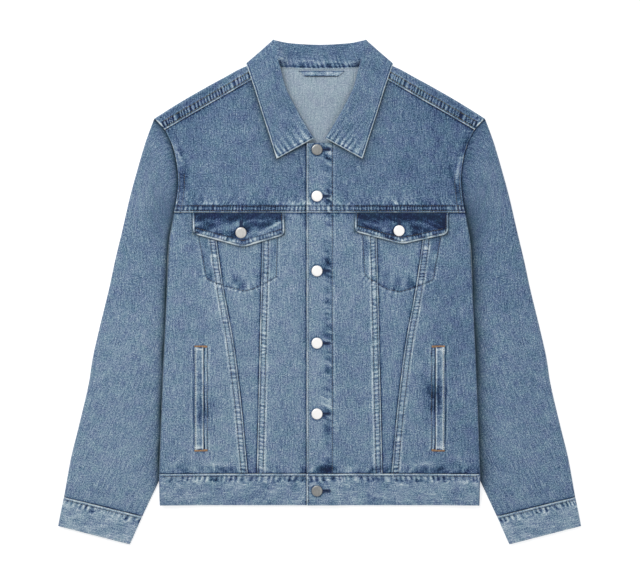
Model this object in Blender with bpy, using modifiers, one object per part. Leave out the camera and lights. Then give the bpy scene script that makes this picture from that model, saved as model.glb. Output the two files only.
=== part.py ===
"""Denim jacket, buttoned and laid flat on its back, with the sleeves running down under its sides.

Sizes and tables are in millimetres, and a mesh is made in metres. X runs across the jacket towards the
wearer's left, Y up it towards the collar, and Z away from the surface that it lies on, which is Z = 0.
Left and right are the wearer's. Every piece is one wall of cloth: an outer face worked out from its edges
and a height, thickened inwards. Heights come from two functions, one for the back and one for the front,
so each piece follows the piece that it lies on.
"""

import math

import bmesh
import bpy
import numpy as np

MM = 0.001

# Walls and gaps
CLOTH = 1.3
DOUBLED = 2.2
COLLAR_CLOTH = 2.0
STAND_CLOTH = 1.6
POCKET_CLOTH = 1.0
SEAM_GAP = 0.3
HALF_GAP = SEAM_GAP / 2
STACK_GAP = 0.5

# Heights of the flattened tubes, outside
BODY_HEIGHT = 5.2
SLEEVE_HEIGHT = 4.6
CUFF_HEIGHT = 5.6
BAND_HEIGHT = 5.9

# Soft side edges of the body, where the front and the back turn towards each other
TURN_RADIUS = BODY_HEIGHT / 2 - STACK_GAP
TURN_ANGLES = (0.0, 30.0, 60.0, 90.0)
TURN_ENDS_Y = 100.0
TURN_FADE = 15.0

# The sides of the body ride up over the sleeves, and its neck over the fallen back of the collar
SLEEVE_LIFT = 5.5
LIFT_MARGIN = 10.0
LIFT_RAMP = 70.0
NECK_LIFT = 2.5
NECK_LIFT_FROM = 272.0
NECK_LIFT_RAMP = 28.0
NECK_LIFT_HALF_WIDTH = 150.0
NECK_LIFT_SIDE_RAMP = 32.0

# Lines across the jacket
HEM_Y = -318.5
BAND_TOP_Y = -271.4
FRONT_YOKE_Y = 119.6
BACK_YOKE_Y = 205.0
FRONT_TOP_Y = 224.0

# The fronts overlap: the left one lies on the right one
LEFT_FREE_X = -19.4
RIGHT_FREE_X = 13.0
OVERLAP_LIFT = CLOTH + SEAM_GAP
BAND_OVERLAP_LIFT = DOUBLED + SEAM_GAP
OVERLAP_FLAT = 20.0
OVERLAP_RAMP = 30.0

# Half outline of the body, hem to underarm and underarm to shoulder tip: x, y
SIDE_EDGE = (
    (239.3, -318.5),
    (240.3, -271.4),
    (235.0, -131.0),
    (229.3, -11.0),
    (224.6, 83.0),
    (217.4, 119.6),
)
ARMHOLE = (
    (217.4, 119.6),
    (214.5, 135.0),
    (211.6, 167.0),
    (213.7, 191.5),
    (216.4, 205.0),
    (220.0, 219.0),
    (231.5, 243.8),
    (247.6, 260.6),
)
BACK_YOKE_STEP = 4
SHOULDER_SEAM_STEP = 6

# Spacing of the back panel's and the fronts' rows, and of the columns across each front piece
BACK_SPACING = 44.0
FRONT_SPACING = 46.0
YOKE_SPACING = 40.0
CENTRE_SPACING = 24.0
SIDE_SPACING = 24.0
INSERT_SPACING = 4.6
FREE_EDGE_YS = (-150.0, -30.0)

# Columns of the back panel, as shares of its width, closer where it rides up over the sleeves
BACK_COLUMNS = (0.0, 0.06, 0.12, 0.17, 0.22, 0.27, 0.33, 0.42, 0.58, 0.67, 0.73, 0.78, 0.83, 0.88, 0.94, 1.0)

# Fold of the shoulder, from the neck out to the tip, and the front seam below it: x, y
SHOULDER_FOLD = (
    (87.2, 344.6),
    (104.0, 334.4),
    (116.0, 335.4),
    (146.0, 319.5),
    (184.0, 298.5),
    (220.0, 277.5),
    (246.2, 259.8),
)
SHOULDER_SEAM = (
    (83.7, 328.6),
    (99.0, 319.7),
    (114.0, 311.2),
    (140.0, 296.0),
    (175.0, 276.0),
    (207.0, 258.0),
    (231.5, 243.8),
)

# The back yoke: the way inwards from the shoulder's fold, and its rows up to it, round it and in front of it
FOLD_INWARDS = (-0.49, -0.87)
BACK_YOKE_ROWS = 4
FOLD_TURNS = (45.0, 90.0, 135.0, 180.0)
STRIP_SHARES = (0.5, 1.0)

# The front yoke's corner at the shoulder tip, and how far it is set off from the neck seam
YOKE_CORNER = (231.3, 243.4)
NECK_OFFSET = (0.4, -0.2)

# Edges of the front insert, which narrows from the yoke to the hem: x, y
INSERT_INNER = ((94.0, BAND_TOP_Y), (90.5, -120.0), (88.0, -11.0), (84.6, FRONT_YOKE_Y))
INSERT_OUTER = (
    (107.6, BAND_TOP_Y),
    (118.5, -155.0),
    (130.4, -64.6),
    (140.6, -11.0),
    (160.0, FRONT_YOKE_Y),
)

# Sleeve, a row for each line across it from the armhole to the cuff: inner x, inner y, outer x, outer y
SLEEVE_ROWS = (
    (217.7, 119.2, 247.9, 260.4),
    (214.0, 110.0, 260.0, 228.0),
    (200.0, 96.0, 272.5, 186.0),
    (182.0, 76.0, 284.5, 142.0),
    (166.0, 48.0, 296.0, 92.0),
    (155.0, 20.0, 306.5, 48.0),
    (151.0, -12.0, 315.0, 8.0),
    (152.0, -46.0, 323.5, -27.0),
    (159.0, -83.0, 331.5, -60.0),
    (170.0, -123.0, 340.0, -98.0),
    (185.0, -163.0, 345.5, -134.0),
    (203.0, -203.0, 354.0, -172.0),
    (222.0, -243.0, 364.0, -213.0),
    (240.2, -281.3, 373.0, -250.0),
    (265.6, -335.0, 383.0, -306.0),
)
SLEEVE_ACROSS = 4

# Where the sleeve's second, third and fourth lines pass below the underarm: x, y
UNDERARM_BENDS = ((221.0, 114.5), (225.0, 106.0), (229.0, 96.0))

CUFF_ROWS = (
    (265.8, -335.4, 383.1, -306.4),
    (275.0, -356.4, 387.6, -328.0),
    (284.3, -377.3, 391.9, -349.7),
)

# Collar, a section for each place round the neck, from the front end of a leaf to the middle of the back:
# the roll line, the outer edge, the neck seam, and how far the section has turned under, 0 to 1
COLLAR_SECTIONS = (
    ((9.0, 230.0), (64.3, 200.0), (17.0, 226.5), 0.0),
    ((22.0, 252.0), (70.0, 219.0), (40.0, 240.0), 0.0),
    ((35.0, 275.0), (77.0, 241.0), (58.0, 262.0), 0.0),
    ((50.0, 305.0), (87.0, 272.0), (72.0, 292.0), 0.0),
    ((59.0, 337.0), (98.0, 307.0), (83.2, 328.6), 0.0),
    ((66.0, 362.0), (106.6, 332.0), (84.6, 338.0), 0.13),
    ((70.0, 377.3), (110.0, 343.0), (86.0, 345.8), 0.5),
    ((65.0, 376.0), (105.0, 336.0), (84.0, 344.0), 0.87),
    ((45.0, 373.6), (82.0, 318.0), (62.0, 338.0), 1.0),
    ((22.0, 371.8), (44.0, 312.0), (35.0, 335.4), 1.0),
    ((0.0, 371.0), (0.0, 310.0), (0.0, 335.0), 1.0),
)
COLLAR_ROLL = 4.0
COLLAR_TOP = 3.2
STAND_TOP = 0.8
STAND_LOW = 2.4
STAND_INSET = 3.6
COLLAR_ROWS = 4
SHOULDER_SECTION = 4

# Pocket flaps, x measured away from the centre line: inner and outer corners, the point, the button
FLAPS = {
    "left": {
        "inner": (52.5, 91.0),
        "outer": (191.5, 87.3),
        "point": (123.6, 72.3),
        "button": (118.8, 92.3),
    },
    "right": {
        "inner": (52.4, 86.3),
        "outer": (189.0, 87.7),
        "point": (114.3, 67.7),
        "button": (117.5, 89.3),
    },
}
FLAP_TOP_Y = 118.6

# Lower outlines of the chest pockets' bags, inner side to outer side: x, y
POCKETS = {
    "left": ((66.8, 26.0), (74.0, 20.0), (100.8, 4.0), (119.6, 0.0), (138.3, 5.3), (170.4, 18.7)),
    "right": ((63.9, 23.0), (84.6, 11.3), (100.0, 4.5), (111.8, 1.0), (141.5, 8.8), (169.8, 20.5)),
}
POCKET_INNER_X = 62.0
POCKET_OUTER_X = 187.0
POCKET_TOP_Y = 112.0

# Welts of the hand pockets
WELT_INNER_X = 173.6
WELT_OUTER_X = 187.5
WELT_TOP_Y = -79.5
WELT_BOTTOM_Y = -237.0

# Hanger loop, on the inside of the back below the neck seam
LOOP_TOP_X = (-31.5, 37.5)
LOOP_BOTTOM_X = (-21.0, 27.5)
LOOP_TOP_Y = 332.0
LOOP_BOTTOM_Y = 323.5
LOOP_CLOTH = 1.0

# Buttons and their holes
BUTTON_X = -3.9
BUTTON_YS = (213.7, 144.2, 32.2, -75.8, -181.6, -296.6)
BUTTON_RADIUS = 8.5
BUTTON_HEIGHT = 2.6
BUTTON_FLANK = 1.1
POCKET_BUTTON_RISE = 1.0
CAP_FLAT_SHARE = 0.8
CAP_FALL = 0.3
CAP_FOOT_SHARE = 0.93
SHANK_RADIUS = 1.7
BUTTON_STEPS = 14
HOLE_WIDTH = 4.4
HOLE_BEYOND = 3.4
HOLE_LENGTH = 22.0
CUTTER_HEIGHT = 30.0

FOLD_ANGLES = (45.0, 90.0, 135.0)

# Columns of the waistband between its middle and a side, as shares
BAND_SHARES = np.array((0.25, 0.42, 0.58, 0.74, 0.86, 0.95))

# Spacing of the pockets' rows and columns
FLAP_SPACING = 12.0
BAG_SPACING = 17.0
BAG_ROW_SPACING = 24.0
WELT_SPACING = 20.0
FLAP_TOP_IN = 1.5
FLAP_TOP_OUT = 0.5

# Finish of each material: colour, roughness, metallic
FINISHES = {
    "denim": ((0.14, 0.23, 0.38, 1.0), 0.85, 0.0),
    "dark_denim": ((0.07, 0.12, 0.24, 1.0), 0.85, 0.0),
    "denim_reverse": ((0.36, 0.45, 0.53, 1.0), 0.88, 0.0),
    "brushed_steel": ((0.72, 0.71, 0.69, 1.0), 0.32, 1.0),
}


def smooth(share):
    """0 to 1 with level ends, for a share that may run past them."""
    share = np.clip(share, 0.0, 1.0)
    return share * share * (3.0 - 2.0 * share)


def across(points, side):
    """Points of the half outline on one side of the jacket: side is 1 for left and -1 for right."""
    return tuple((side * x, y) for x, y in points)


def moved(points, dx, dy=0.0):
    return tuple((x + dx, y + dy) for x, y in points)


def fractions_of(path):
    """How far along a line of straight runs each of its points is, 0 to 1."""
    steps = np.hypot(*np.diff(np.array(path, float), axis=0).T)
    return np.concatenate([[0.0], np.cumsum(steps) / steps.sum()])


def walk(path, fractions):
    """The points at these shares of a path's length."""
    path = np.array(path, float)
    at = fractions_of(path)
    return np.stack([np.interp(fractions, at, path[:, axis]) for axis in (0, 1)], axis=-1)


def stops(path, spacing):
    """Shares of a path's length at its own points, with even ones between them at most a spacing apart."""
    path = np.array(path, float)
    length = np.hypot(*np.diff(path, axis=0).T).sum()
    found = [0.0]
    for share in fractions_of(path)[1:]:
        parts = max(1, math.ceil((share - found[-1]) * length / spacing))
        found.extend(np.linspace(found[-1], share, parts + 1)[1:])
    return np.array(found)


def patch(bottom, top, left, right, us, vs):
    """Points (u, v, 2) of the surface that fills four edges."""
    low, high = walk(bottom, us), walk(top, us)
    start, end = walk(left, vs), walk(right, vs)
    u, v = us[:, None, None], vs[None, :, None]
    corners = (1 - u) * (1 - v) * low[0] + u * (1 - v) * low[-1] + (1 - u) * v * high[0] + u * v * high[-1]
    return (1 - v) * low[:, None] + v * high[:, None] + (1 - u) * start[None] + u * end[None] - corners


def distance_to_sleeve(x, y):
    """How far points of the body lie outside the stretch of sleeve beneath it."""
    edge = [row[:2] for row in SLEEVE_ROWS[:-1]]
    edge += [(320.0, SLEEVE_ROWS[-2][1]), (320.0, SLEEVE_ROWS[0][1])]
    edge = np.array(edge, float)
    px, py = np.abs(x), y
    nearest = np.full(np.shape(px), np.inf)
    inside = np.zeros(np.shape(px), bool)
    for (ax, ay), (bx, by) in zip(edge, np.roll(edge, -1, axis=0)):
        dx, dy = bx - ax, by - ay
        along = np.clip(((px - ax) * dx + (py - ay) * dy) / (dx * dx + dy * dy), 0.0, 1.0)
        nearest = np.minimum(nearest, np.hypot(px - ax - along * dx, py - ay - along * dy))
        if ay != by:
            inside ^= ((ay > py) != (by > py)) & (px < ax + (py - ay) / dy * dx)
    return np.where(inside, 0.0, nearest)


def back_height(x, y):
    """Height of the outer, lower face of the back."""
    lifted = SLEEVE_LIFT * (1.0 - smooth((distance_to_sleeve(x, y) - LIFT_MARGIN) / LIFT_RAMP))
    at_neck = smooth((y - NECK_LIFT_FROM) / NECK_LIFT_RAMP)
    at_neck = at_neck * smooth((NECK_LIFT_HALF_WIDTH - np.abs(x)) / NECK_LIFT_SIDE_RAMP)
    return lifted + NECK_LIFT * at_neck


def front_height(x, y):
    """Height of the outer, upper face of the front where nothing laps over it."""
    return back_height(x, y) + BODY_HEIGHT


def overlap(x):
    """1 where the left front lies on the right one, easing to 0 away from the centre line."""
    return 1.0 - smooth((np.abs(x) - OVERLAP_FLAT) / OVERLAP_RAMP)


def edge_turn(x, y):
    """How far the cloth has turned towards the middle of the body's height at its soft side edge."""
    ys, xs = [p[1] for p in SIDE_EDGE], [p[0] for p in SIDE_EDGE]
    inwards = np.clip(np.interp(y, ys, xs) - np.abs(x), 0.0, TURN_RADIUS)
    turned = TURN_RADIUS - np.sqrt(np.maximum(TURN_RADIUS**2 - (TURN_RADIUS - inwards) ** 2, 0.0))
    return turned * (1.0 - smooth((y - TURN_ENDS_Y) / TURN_FADE))


def turned_edge(edge, vs):
    """The columns (u, v, 2) of the soft side edge's quarter round, ending on the edge."""
    columns = []
    for angle in np.radians(TURN_ANGLES):
        columns.append(walk(edge, vs) - (TURN_RADIUS * (1.0 - math.sin(angle)), 0.0))
    return np.array(columns)


def front_face(x, y, lapped):
    """Height of a front piece's outer face: lapped is 1 on the left front and 0 on the right."""
    return front_height(x, y) + lapped * OVERLAP_LIFT * overlap(x) - edge_turn(x, y)


def material(name):
    made = bpy.data.materials.get(name)
    if made is None:
        made = bpy.data.materials.new(name)
        made.use_nodes = True
        colour, roughness, metallic = FINISHES[name]
        shader = made.node_tree.nodes["Principled BSDF"]
        shader.inputs["Base Color"].default_value = colour
        shader.inputs["Roughness"].default_value = roughness
        shader.inputs["Metallic"].default_value = metallic
        made.diffuse_color = colour
    return made


def piece(name, mesh, finish):
    """The named object of a mesh, in the jacket's collection."""
    mesh.materials.append(material(finish))
    made = bpy.data.objects.new(name, mesh)
    bpy.data.collections["denim_jacket"].objects.link(made)
    return made


def facing(grid, towards):
    """Whether a grid's faces look the way asked for: up, down, or around, away from their middle."""
    places = np.array([face.calc_center_median() for face in grid.faces])
    areas = np.array([face.calc_area() * face.normal for face in grid.faces])
    if towards == "around":
        return ((places - places.mean(axis=0)) * areas).sum() > 0
    return areas[:, 2].sum() * (1 if towards == "up" else -1) > 0


def cloth(name, points, thickness, towards, finish="denim", closed=False, keep=None):
    """A wall of cloth whose outer face is the grid of points (u, v, 3), in millimetres."""
    wide, long = points.shape[:2]
    grid = bmesh.new()
    bmesh.ops.create_grid(grid, x_segments=wide - 1, y_segments=long - 1, size=1.0)
    grid.verts.ensure_lookup_table()
    for index, vert in enumerate(grid.verts):
        vert.co = points[index % wide, index // wide] * MM
    if keep is not None:
        spare = [face for index, face in enumerate(grid.faces) if not keep(*divmod(index, wide - 1)[::-1])]
        bmesh.ops.delete(grid, geom=spare, context="FACES")
    if closed:
        bmesh.ops.remove_doubles(grid, verts=grid.verts, dist=1e-6)
    grid.normal_update()
    if not facing(grid, towards):
        bmesh.ops.reverse_faces(grid, faces=grid.faces)
    mesh = bpy.data.meshes.new(name)
    grid.to_mesh(mesh)
    grid.free()
    made = piece(name, mesh, finish)
    wall = made.modifiers.new("wall", "SOLIDIFY")
    wall.thickness = thickness * MM
    wall.offset = -1.0
    wall.use_even_offset = True
    return made


def raised(plan, height):
    """Points (u, v, 3) from points (u, v, 2) and a height function."""
    return np.concatenate([plan, height(plan[..., 0], plan[..., 1])[..., None]], axis=-1)


def flat_ring(length, height, parts):
    """(along, up) round a closed flat tube with half-round edges, from the inner end of its underside."""
    radius = height / 2
    run = np.linspace(radius, length - radius, parts + 1)
    turns = np.radians(FOLD_ANGLES)
    ring = [(along, 0.0) for along in run]
    ring += [(length - radius + radius * math.sin(a), radius - radius * math.cos(a)) for a in turns]
    ring += [(along, height) for along in run[::-1]]
    ring += [(radius - radius * math.sin(a), radius + radius * math.cos(a)) for a in turns]
    return np.array(ring + ring[:1])


def tube(paths, height, parts):
    """Points (u, v, 3) round a flattened tube, whose paths run across it from its inner to its outer edge."""
    rows = []
    for path in paths:
        length = np.hypot(*np.diff(np.array(path, float), axis=0).T).sum()
        ring = flat_ring(length, height, parts)
        rows.append(np.column_stack([walk(path, ring[:, 0] / length), ring[:, 1]]))
    return np.stack(rows, axis=1)


def cut(target, name, centre, size):
    """Cuts a buttonhole through a piece: centre and size in millimetres."""
    bpy.ops.mesh.primitive_cube_add(size=1.0, location=[value * MM for value in centre])
    cutter = bpy.context.object
    cutter.name = name
    cutter.scale = [value * MM for value in size]
    bpy.ops.object.transform_apply(location=False, rotation=False, scale=True)
    cutter.hide_render = True
    cutter.display_type = "WIRE"
    for collection in list(cutter.users_collection):
        collection.objects.unlink(cutter)
    bpy.data.collections["cutters"].objects.link(cutter)
    hole = target.modifiers.new(name, "BOOLEAN")
    hole.operation = "DIFFERENCE"
    hole.object = cutter


def button(name, x, y, cap_z, foot_z):
    """A domed metal cap on a shank, turned from one profile."""
    cap = [
        (0.0, BUTTON_HEIGHT),
        (BUTTON_RADIUS * CAP_FLAT_SHARE, BUTTON_HEIGHT - CAP_FALL),
        (BUTTON_RADIUS, BUTTON_FLANK),
        (BUTTON_RADIUS * CAP_FOOT_SHARE, 0.0),
        (SHANK_RADIUS, 0.0),
        (SHANK_RADIUS, foot_z - cap_z),
        (0.0, foot_z - cap_z),
    ]
    mesh = bpy.data.meshes.new(name)
    edges = [(index, index + 1) for index in range(len(cap) - 1)]
    mesh.from_pydata([(radius * MM, 0.0, up * MM) for radius, up in cap], edges, [])
    made = piece(name, mesh, "brushed_steel")
    made.location = (x * MM, y * MM, cap_z * MM)
    turned = made.modifiers.new("turned", "SCREW")
    turned.axis = "Z"
    turned.steps = BUTTON_STEPS
    turned.render_steps = BUTTON_STEPS
    turned.use_merge_vertices = True
    turned.merge_threshold = 1e-5
    turned.use_smooth_shade = True


def inside_armhole(spot):
    """The point, moved in to the armhole's edge where it is past it."""
    edge = np.interp(spot[1], [p[1] for p in ARMHOLE], [p[0] for p in ARMHOLE])
    return np.array([min(spot[0], edge), spot[1]])


def neck_line(sections):
    return [COLLAR_SECTIONS[index][2] for index in sections]


def make_back_panel():
    side = [p for p in SIDE_EDGE if p[1] > BAND_TOP_Y] + list(ARMHOLE[1 : BACK_YOKE_STEP + 1])
    side = [(SIDE_EDGE[1][0], BAND_TOP_Y + SEAM_GAP)] + side
    side[-1] = (side[-1][0], BACK_YOKE_Y - HALF_GAP)
    vs = stops(side, BACK_SPACING)
    flat = moved(side, -TURN_RADIUS)
    opposite = across(flat, -1)
    bottom, top = (opposite[0], flat[0]), (opposite[-1], flat[-1])
    plan = patch(bottom, top, opposite, flat, np.array(BACK_COLUMNS), vs)
    turn = turned_edge(side, vs)[1:]
    plan = np.concatenate([turn[::-1] * (-1.0, 1.0), plan, turn])
    points = raised(plan, lambda x, y: back_height(x, y) + edge_turn(x, y))
    cloth("back_panel", points, CLOTH, "down")


def make_back_yoke():
    """The back yoke, whose two shoulders fold forward over the top to the front seams."""
    neck = moved(neck_line((10, 9, 8, 7)), 0.0, -SEAM_GAP - 0.1)
    fold = list(SHOULDER_FOLD)
    radius = BODY_HEIGHT / 2
    inwards = np.array(FOLD_INWARDS)
    foot = np.linspace(0.0, ARMHOLE[BACK_YOKE_STEP][0], len(neck) + len(fold))
    columns = []
    for index, x in enumerate(foot):
        top = np.array((neck + tuple(fold))[index])
        on_shoulder = index >= len(neck)
        last = top + inwards * radius if on_shoulder else top
        low = np.array([x, BACK_YOKE_Y + HALF_GAP])
        column = []
        for share in np.linspace(0.0, 1.0, BACK_YOKE_ROWS + 1):
            spot = inside_armhole(low + (last - low) * share)
            column.append((*spot, back_height(*spot)))
        seam = np.array(SHOULDER_SEAM[max(index - len(neck), 0)]) + (0.0, HALF_GAP)
        if index == len(neck):
            seam[0] += SEAM_GAP
        for angle in np.radians(FOLD_TURNS):
            spot = inside_armhole(top + inwards * radius * (1.0 - math.sin(angle)))
            column.append((*spot, back_height(*spot) + radius * (1.0 - math.cos(angle))))
        for share in STRIP_SHARES:
            spot = inside_armhole(top + inwards * radius + (seam - top - inwards * radius) * share)
            column.append((*spot, front_height(*spot)))
        columns.append(column)
    half = np.array(columns)
    whole = np.concatenate([half[:0:-1] * (-1.0, 1.0, 1.0), half])
    centre_from, centre_to = len(fold) - 1, len(whole) - len(fold)
    cloth(
        "back_yoke",
        whole,
        CLOTH,
        "down",
        keep=lambda column, row: row < BACK_YOKE_ROWS or column < centre_from or column >= centre_to,
    )


def make_front(name, side):
    """Yoke, centre, insert and side panel of one front: side is 1 for left and -1 for right."""
    lapped = 1.0 if side > 0 else 0.0
    free = LEFT_FREE_X if side > 0 else -RIGHT_FREE_X

    def height(x, y):
        return front_face(side * x, y, lapped)

    def panel(kind, left, right, spacing, edge=None):
        us = stops((left[0], right[0]), spacing)
        vs = stops(left if len(left) > len(right) else right, FRONT_SPACING)
        plan = patch((left[0], right[0]), (left[-1], right[-1]), left, right, us, vs)
        if edge is not None:
            plan = np.concatenate([plan, turned_edge(edge, vs)[1:]])
        return cloth(f"{kind}_{name}", raised(plan, height) * (side, 1.0, 1.0), CLOTH, "up")

    yoke_y = FRONT_YOKE_Y + HALF_GAP
    armhole = ((ARMHOLE[0][0], yoke_y),) + ARMHOLE[1:SHOULDER_SEAM_STEP] + (YOKE_CORNER,)
    neck = moved(neck_line(range(SHOULDER_SECTION + 1)), *NECK_OFFSET)
    seam = moved(SHOULDER_SEAM[1:-1], 0.0, -HALF_GAP)
    top = ((free, FRONT_TOP_Y), (neck[0][0], FRONT_TOP_Y)) + neck[1:] + seam + armhole[-1:]
    us, vs = stops(top, YOKE_SPACING), stops(armhole, YOKE_SPACING)
    bottom = ((free, yoke_y), armhole[0])
    plan = patch(bottom, top, ((free, yoke_y), top[0]), armhole, us, vs)
    yoke = cloth(f"front_yoke_{name}", raised(plan, height) * (side, 1.0, 1.0), CLOTH, "up")

    low, high = BAND_TOP_Y + SEAM_GAP, FRONT_YOKE_Y - HALF_GAP
    inner, outer = INSERT_INNER, INSERT_OUTER
    inner = ((inner[0][0], low),) + inner[1:-1] + ((inner[-1][0], high),)
    outer = ((outer[0][0], low),) + outer[1:-1] + ((outer[-1][0], high),)
    edge = ((SIDE_EDGE[1][0], low),) + SIDE_EDGE[2:-1] + ((SIDE_EDGE[-1][0], high),)

    free_edge = tuple((free, y) for y in (low, *FREE_EDGE_YS, high))
    centre_edge = moved(inner, -HALF_GAP)
    centre = panel("front_centre", free_edge, centre_edge, CENTRE_SPACING)
    panel("front_insert", moved(inner, HALF_GAP), moved(outer, -HALF_GAP), INSERT_SPACING)
    panel("front_side", moved(outer, HALF_GAP), moved(edge, -TURN_RADIUS), SIDE_SPACING, edge)
    return yoke, centre


def make_pocket(name, side):
    """Flap, bag and welt of one front's two pockets, with the flap's button."""
    flap = FLAPS[name]

    def on_front(lift):
        return lambda x, y: front_face(side * x, y, 0.0) + lift

    bottom = (flap["inner"], flap["point"], flap["outer"])
    top = ((flap["inner"][0] + FLAP_TOP_IN, FLAP_TOP_Y), (flap["outer"][0] + FLAP_TOP_OUT, FLAP_TOP_Y))
    left, right = (bottom[0], top[0]), (bottom[-1], top[-1])
    plan = patch(bottom, top, left, right, stops(bottom, FLAP_SPACING), np.linspace(0.0, 1.0, 4))
    points = raised(plan, on_front(STACK_GAP + DOUBLED)) * (side, 1.0, 1.0)
    made = cloth(f"pocket_flap_{name}", points, DOUBLED, "up", "dark_denim")

    bottom = POCKETS[name]
    top = ((POCKET_INNER_X, POCKET_TOP_Y), (POCKET_OUTER_X, POCKET_TOP_Y))
    left, right = (bottom[0], top[0]), (bottom[-1], top[-1])
    plan = patch(bottom, top, left, right, stops(bottom, BAG_SPACING), stops(left, BAG_ROW_SPACING))
    points = raised(plan, on_front(-CLOTH - STACK_GAP)) * (side, 1.0, 1.0)
    cloth(f"chest_pocket_{name}", points, POCKET_CLOTH, "up")

    left = ((WELT_INNER_X, WELT_BOTTOM_Y), (WELT_INNER_X, WELT_TOP_Y))
    right = ((WELT_OUTER_X, WELT_BOTTOM_Y), (WELT_OUTER_X, WELT_TOP_Y))
    bottom, top = (left[0], right[0]), (left[1], right[1])
    plan = patch(bottom, top, left, right, np.linspace(0.0, 1.0, 2), stops(left, WELT_SPACING))
    points = raised(plan, on_front(STACK_GAP + CLOTH)) * (side, 1.0, 1.0)
    cloth(f"hand_pocket_welt_{name}", points, CLOTH, "up")

    x, y = side * flap["button"][0], flap["button"][1]
    on_panel = float(front_face(x, y, 0.0))
    shift = HOLE_LENGTH / 2 - HOLE_BEYOND
    size = (HOLE_WIDTH, HOLE_LENGTH, CUTTER_HEIGHT)
    cut(made, f"hole_pocket_{name}", (x, y + shift, on_panel), size)
    top = on_panel + STACK_GAP + DOUBLED
    button(f"pocket_button_{name}", x, y, top + POCKET_BUTTON_RISE, on_panel + STACK_GAP)


def make_sleeve(name, side):
    mouth = moved(ARMHOLE, SEAM_GAP, -SEAM_GAP / 2)
    bent = len(UNDERARM_BENDS) + 1
    paths = [mouth]
    paths += [(row[:2], bend, row[2:]) for row, bend in zip(SLEEVE_ROWS[1:bent], UNDERARM_BENDS)]
    paths += [(row[:2], row[2:]) for row in SLEEVE_ROWS[bent:]]
    points = tube(paths, SLEEVE_HEIGHT, SLEEVE_ACROSS) * (side, 1.0, 1.0)
    cloth(f"sleeve_{name}", points, CLOTH, "around", closed=True)
    paths = [(row[:2], row[2:]) for row in CUFF_ROWS]
    points = tube(paths, CUFF_HEIGHT, SLEEVE_ACROSS) * (side, 1.0, 1.0)
    cloth(f"cuff_{name}", points, DOUBLED, "around", closed=True)


def make_waistband():
    """One strip round the hem, from the button end under the overlap to the buttonhole end on top of it."""
    radius = BAND_HEIGHT / 2
    turns = np.radians(FOLD_ANGLES)
    columns = []
    for y in np.linspace(BAND_TOP_Y, HEM_Y, 3):
        wide = float(np.interp(y, [p[1] for p in SIDE_EDGE], [p[0] for p in SIDE_EDGE]))
        run = BAND_SHARES * (wide - radius)
        fold = [(wide - radius * (1.0 - math.sin(a)), radius * (1.0 - math.cos(a))) for a in turns]
        strip = [(RIGHT_FREE_X, BAND_HEIGHT), (-OVERLAP_FLAT, BAND_HEIGHT)]
        strip += [(-x, BAND_HEIGHT) for x in run] + [(radius - wide, BAND_HEIGHT)]
        strip += [(-x, up) for x, up in fold[::-1]]
        strip += [(radius - wide, 0.0)] + [(-x, 0.0) for x in run[::-1]] + [(0.0, 0.0)]
        strip += [(x, 0.0) for x in run] + [(wide - radius, 0.0)] + fold
        strip += [(wide - radius, BAND_HEIGHT)]
        over = [wide - radius] + list(run[::-1]) + [OVERLAP_FLAT, LEFT_FREE_X]
        strip += [(x, BAND_HEIGHT + BAND_OVERLAP_LIFT * float(overlap(x))) for x in over[1:]]
        columns.append([(x, y, float(back_height(x, y)) + up) for x, up in strip])
    points = np.array(columns).transpose(1, 0, 2)
    return cloth("waistband", points, DOUBLED, "around")


def collar_band(name, first, second, top, low, thickness, roll_at):
    """A flattened band round the neck between two of the sections' lines, at the heights top and low."""
    shares = np.linspace(0.0, 1.0, COLLAR_ROWS + 1)
    half = []
    for index in range(len(COLLAR_SECTIONS)):
        turn = COLLAR_SECTIONS[index][3]
        start, end = np.array(first[index]), np.array(second[index])
        section = []
        for share in shares:
            spot = start + (end - start) * share
            rise = front_height(*spot) + top + OVERLAP_LIFT * overlap(spot[0])
            rise += COLLAR_ROLL * (1.0 - abs(share - roll_at)) ** 2
            section.append((*spot, low + (rise - low) * (0.5 + 0.5 * math.cos(math.pi * turn))))
        half.append(section)
    half = np.array(half)
    return cloth(name, np.concatenate([half, half[-2::-1] * (-1.0, 1.0, 1.0)]), thickness, "around")


def make_collar():
    roll = [section[0] for section in COLLAR_SECTIONS]
    edge = [section[1] for section in COLLAR_SECTIONS]
    neck = [section[2] for section in COLLAR_SECTIONS]
    collar_band("collar_fall", roll, edge, COLLAR_TOP, 0.0, COLLAR_CLOTH, 0.0)
    inset = [math.sin(math.pi * section[3]) * STAND_INSET for section in COLLAR_SECTIONS]
    inner = [(x - shift, y - shift) for (x, y), shift in zip(roll, inset)]
    collar_band("collar_stand", neck, inner, STAND_TOP, STAND_LOW, STAND_CLOTH, 1.0)


def make_loop():
    bottom = tuple((x, LOOP_BOTTOM_Y) for x in LOOP_BOTTOM_X)
    top = tuple((x, LOOP_TOP_Y) for x in LOOP_TOP_X)
    us = np.linspace(0.0, 1.0, 5)
    plan = patch(bottom, top, (bottom[0], top[0]), (bottom[1], top[1]), us, np.linspace(0.0, 1.0, 3))
    lift = CLOTH + SEAM_GAP + LOOP_CLOTH
    points = raised(plan, lambda x, y: back_height(x, y) + lift)
    cloth("hanger_loop", points, LOOP_CLOTH, "up", "denim_reverse")


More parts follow.
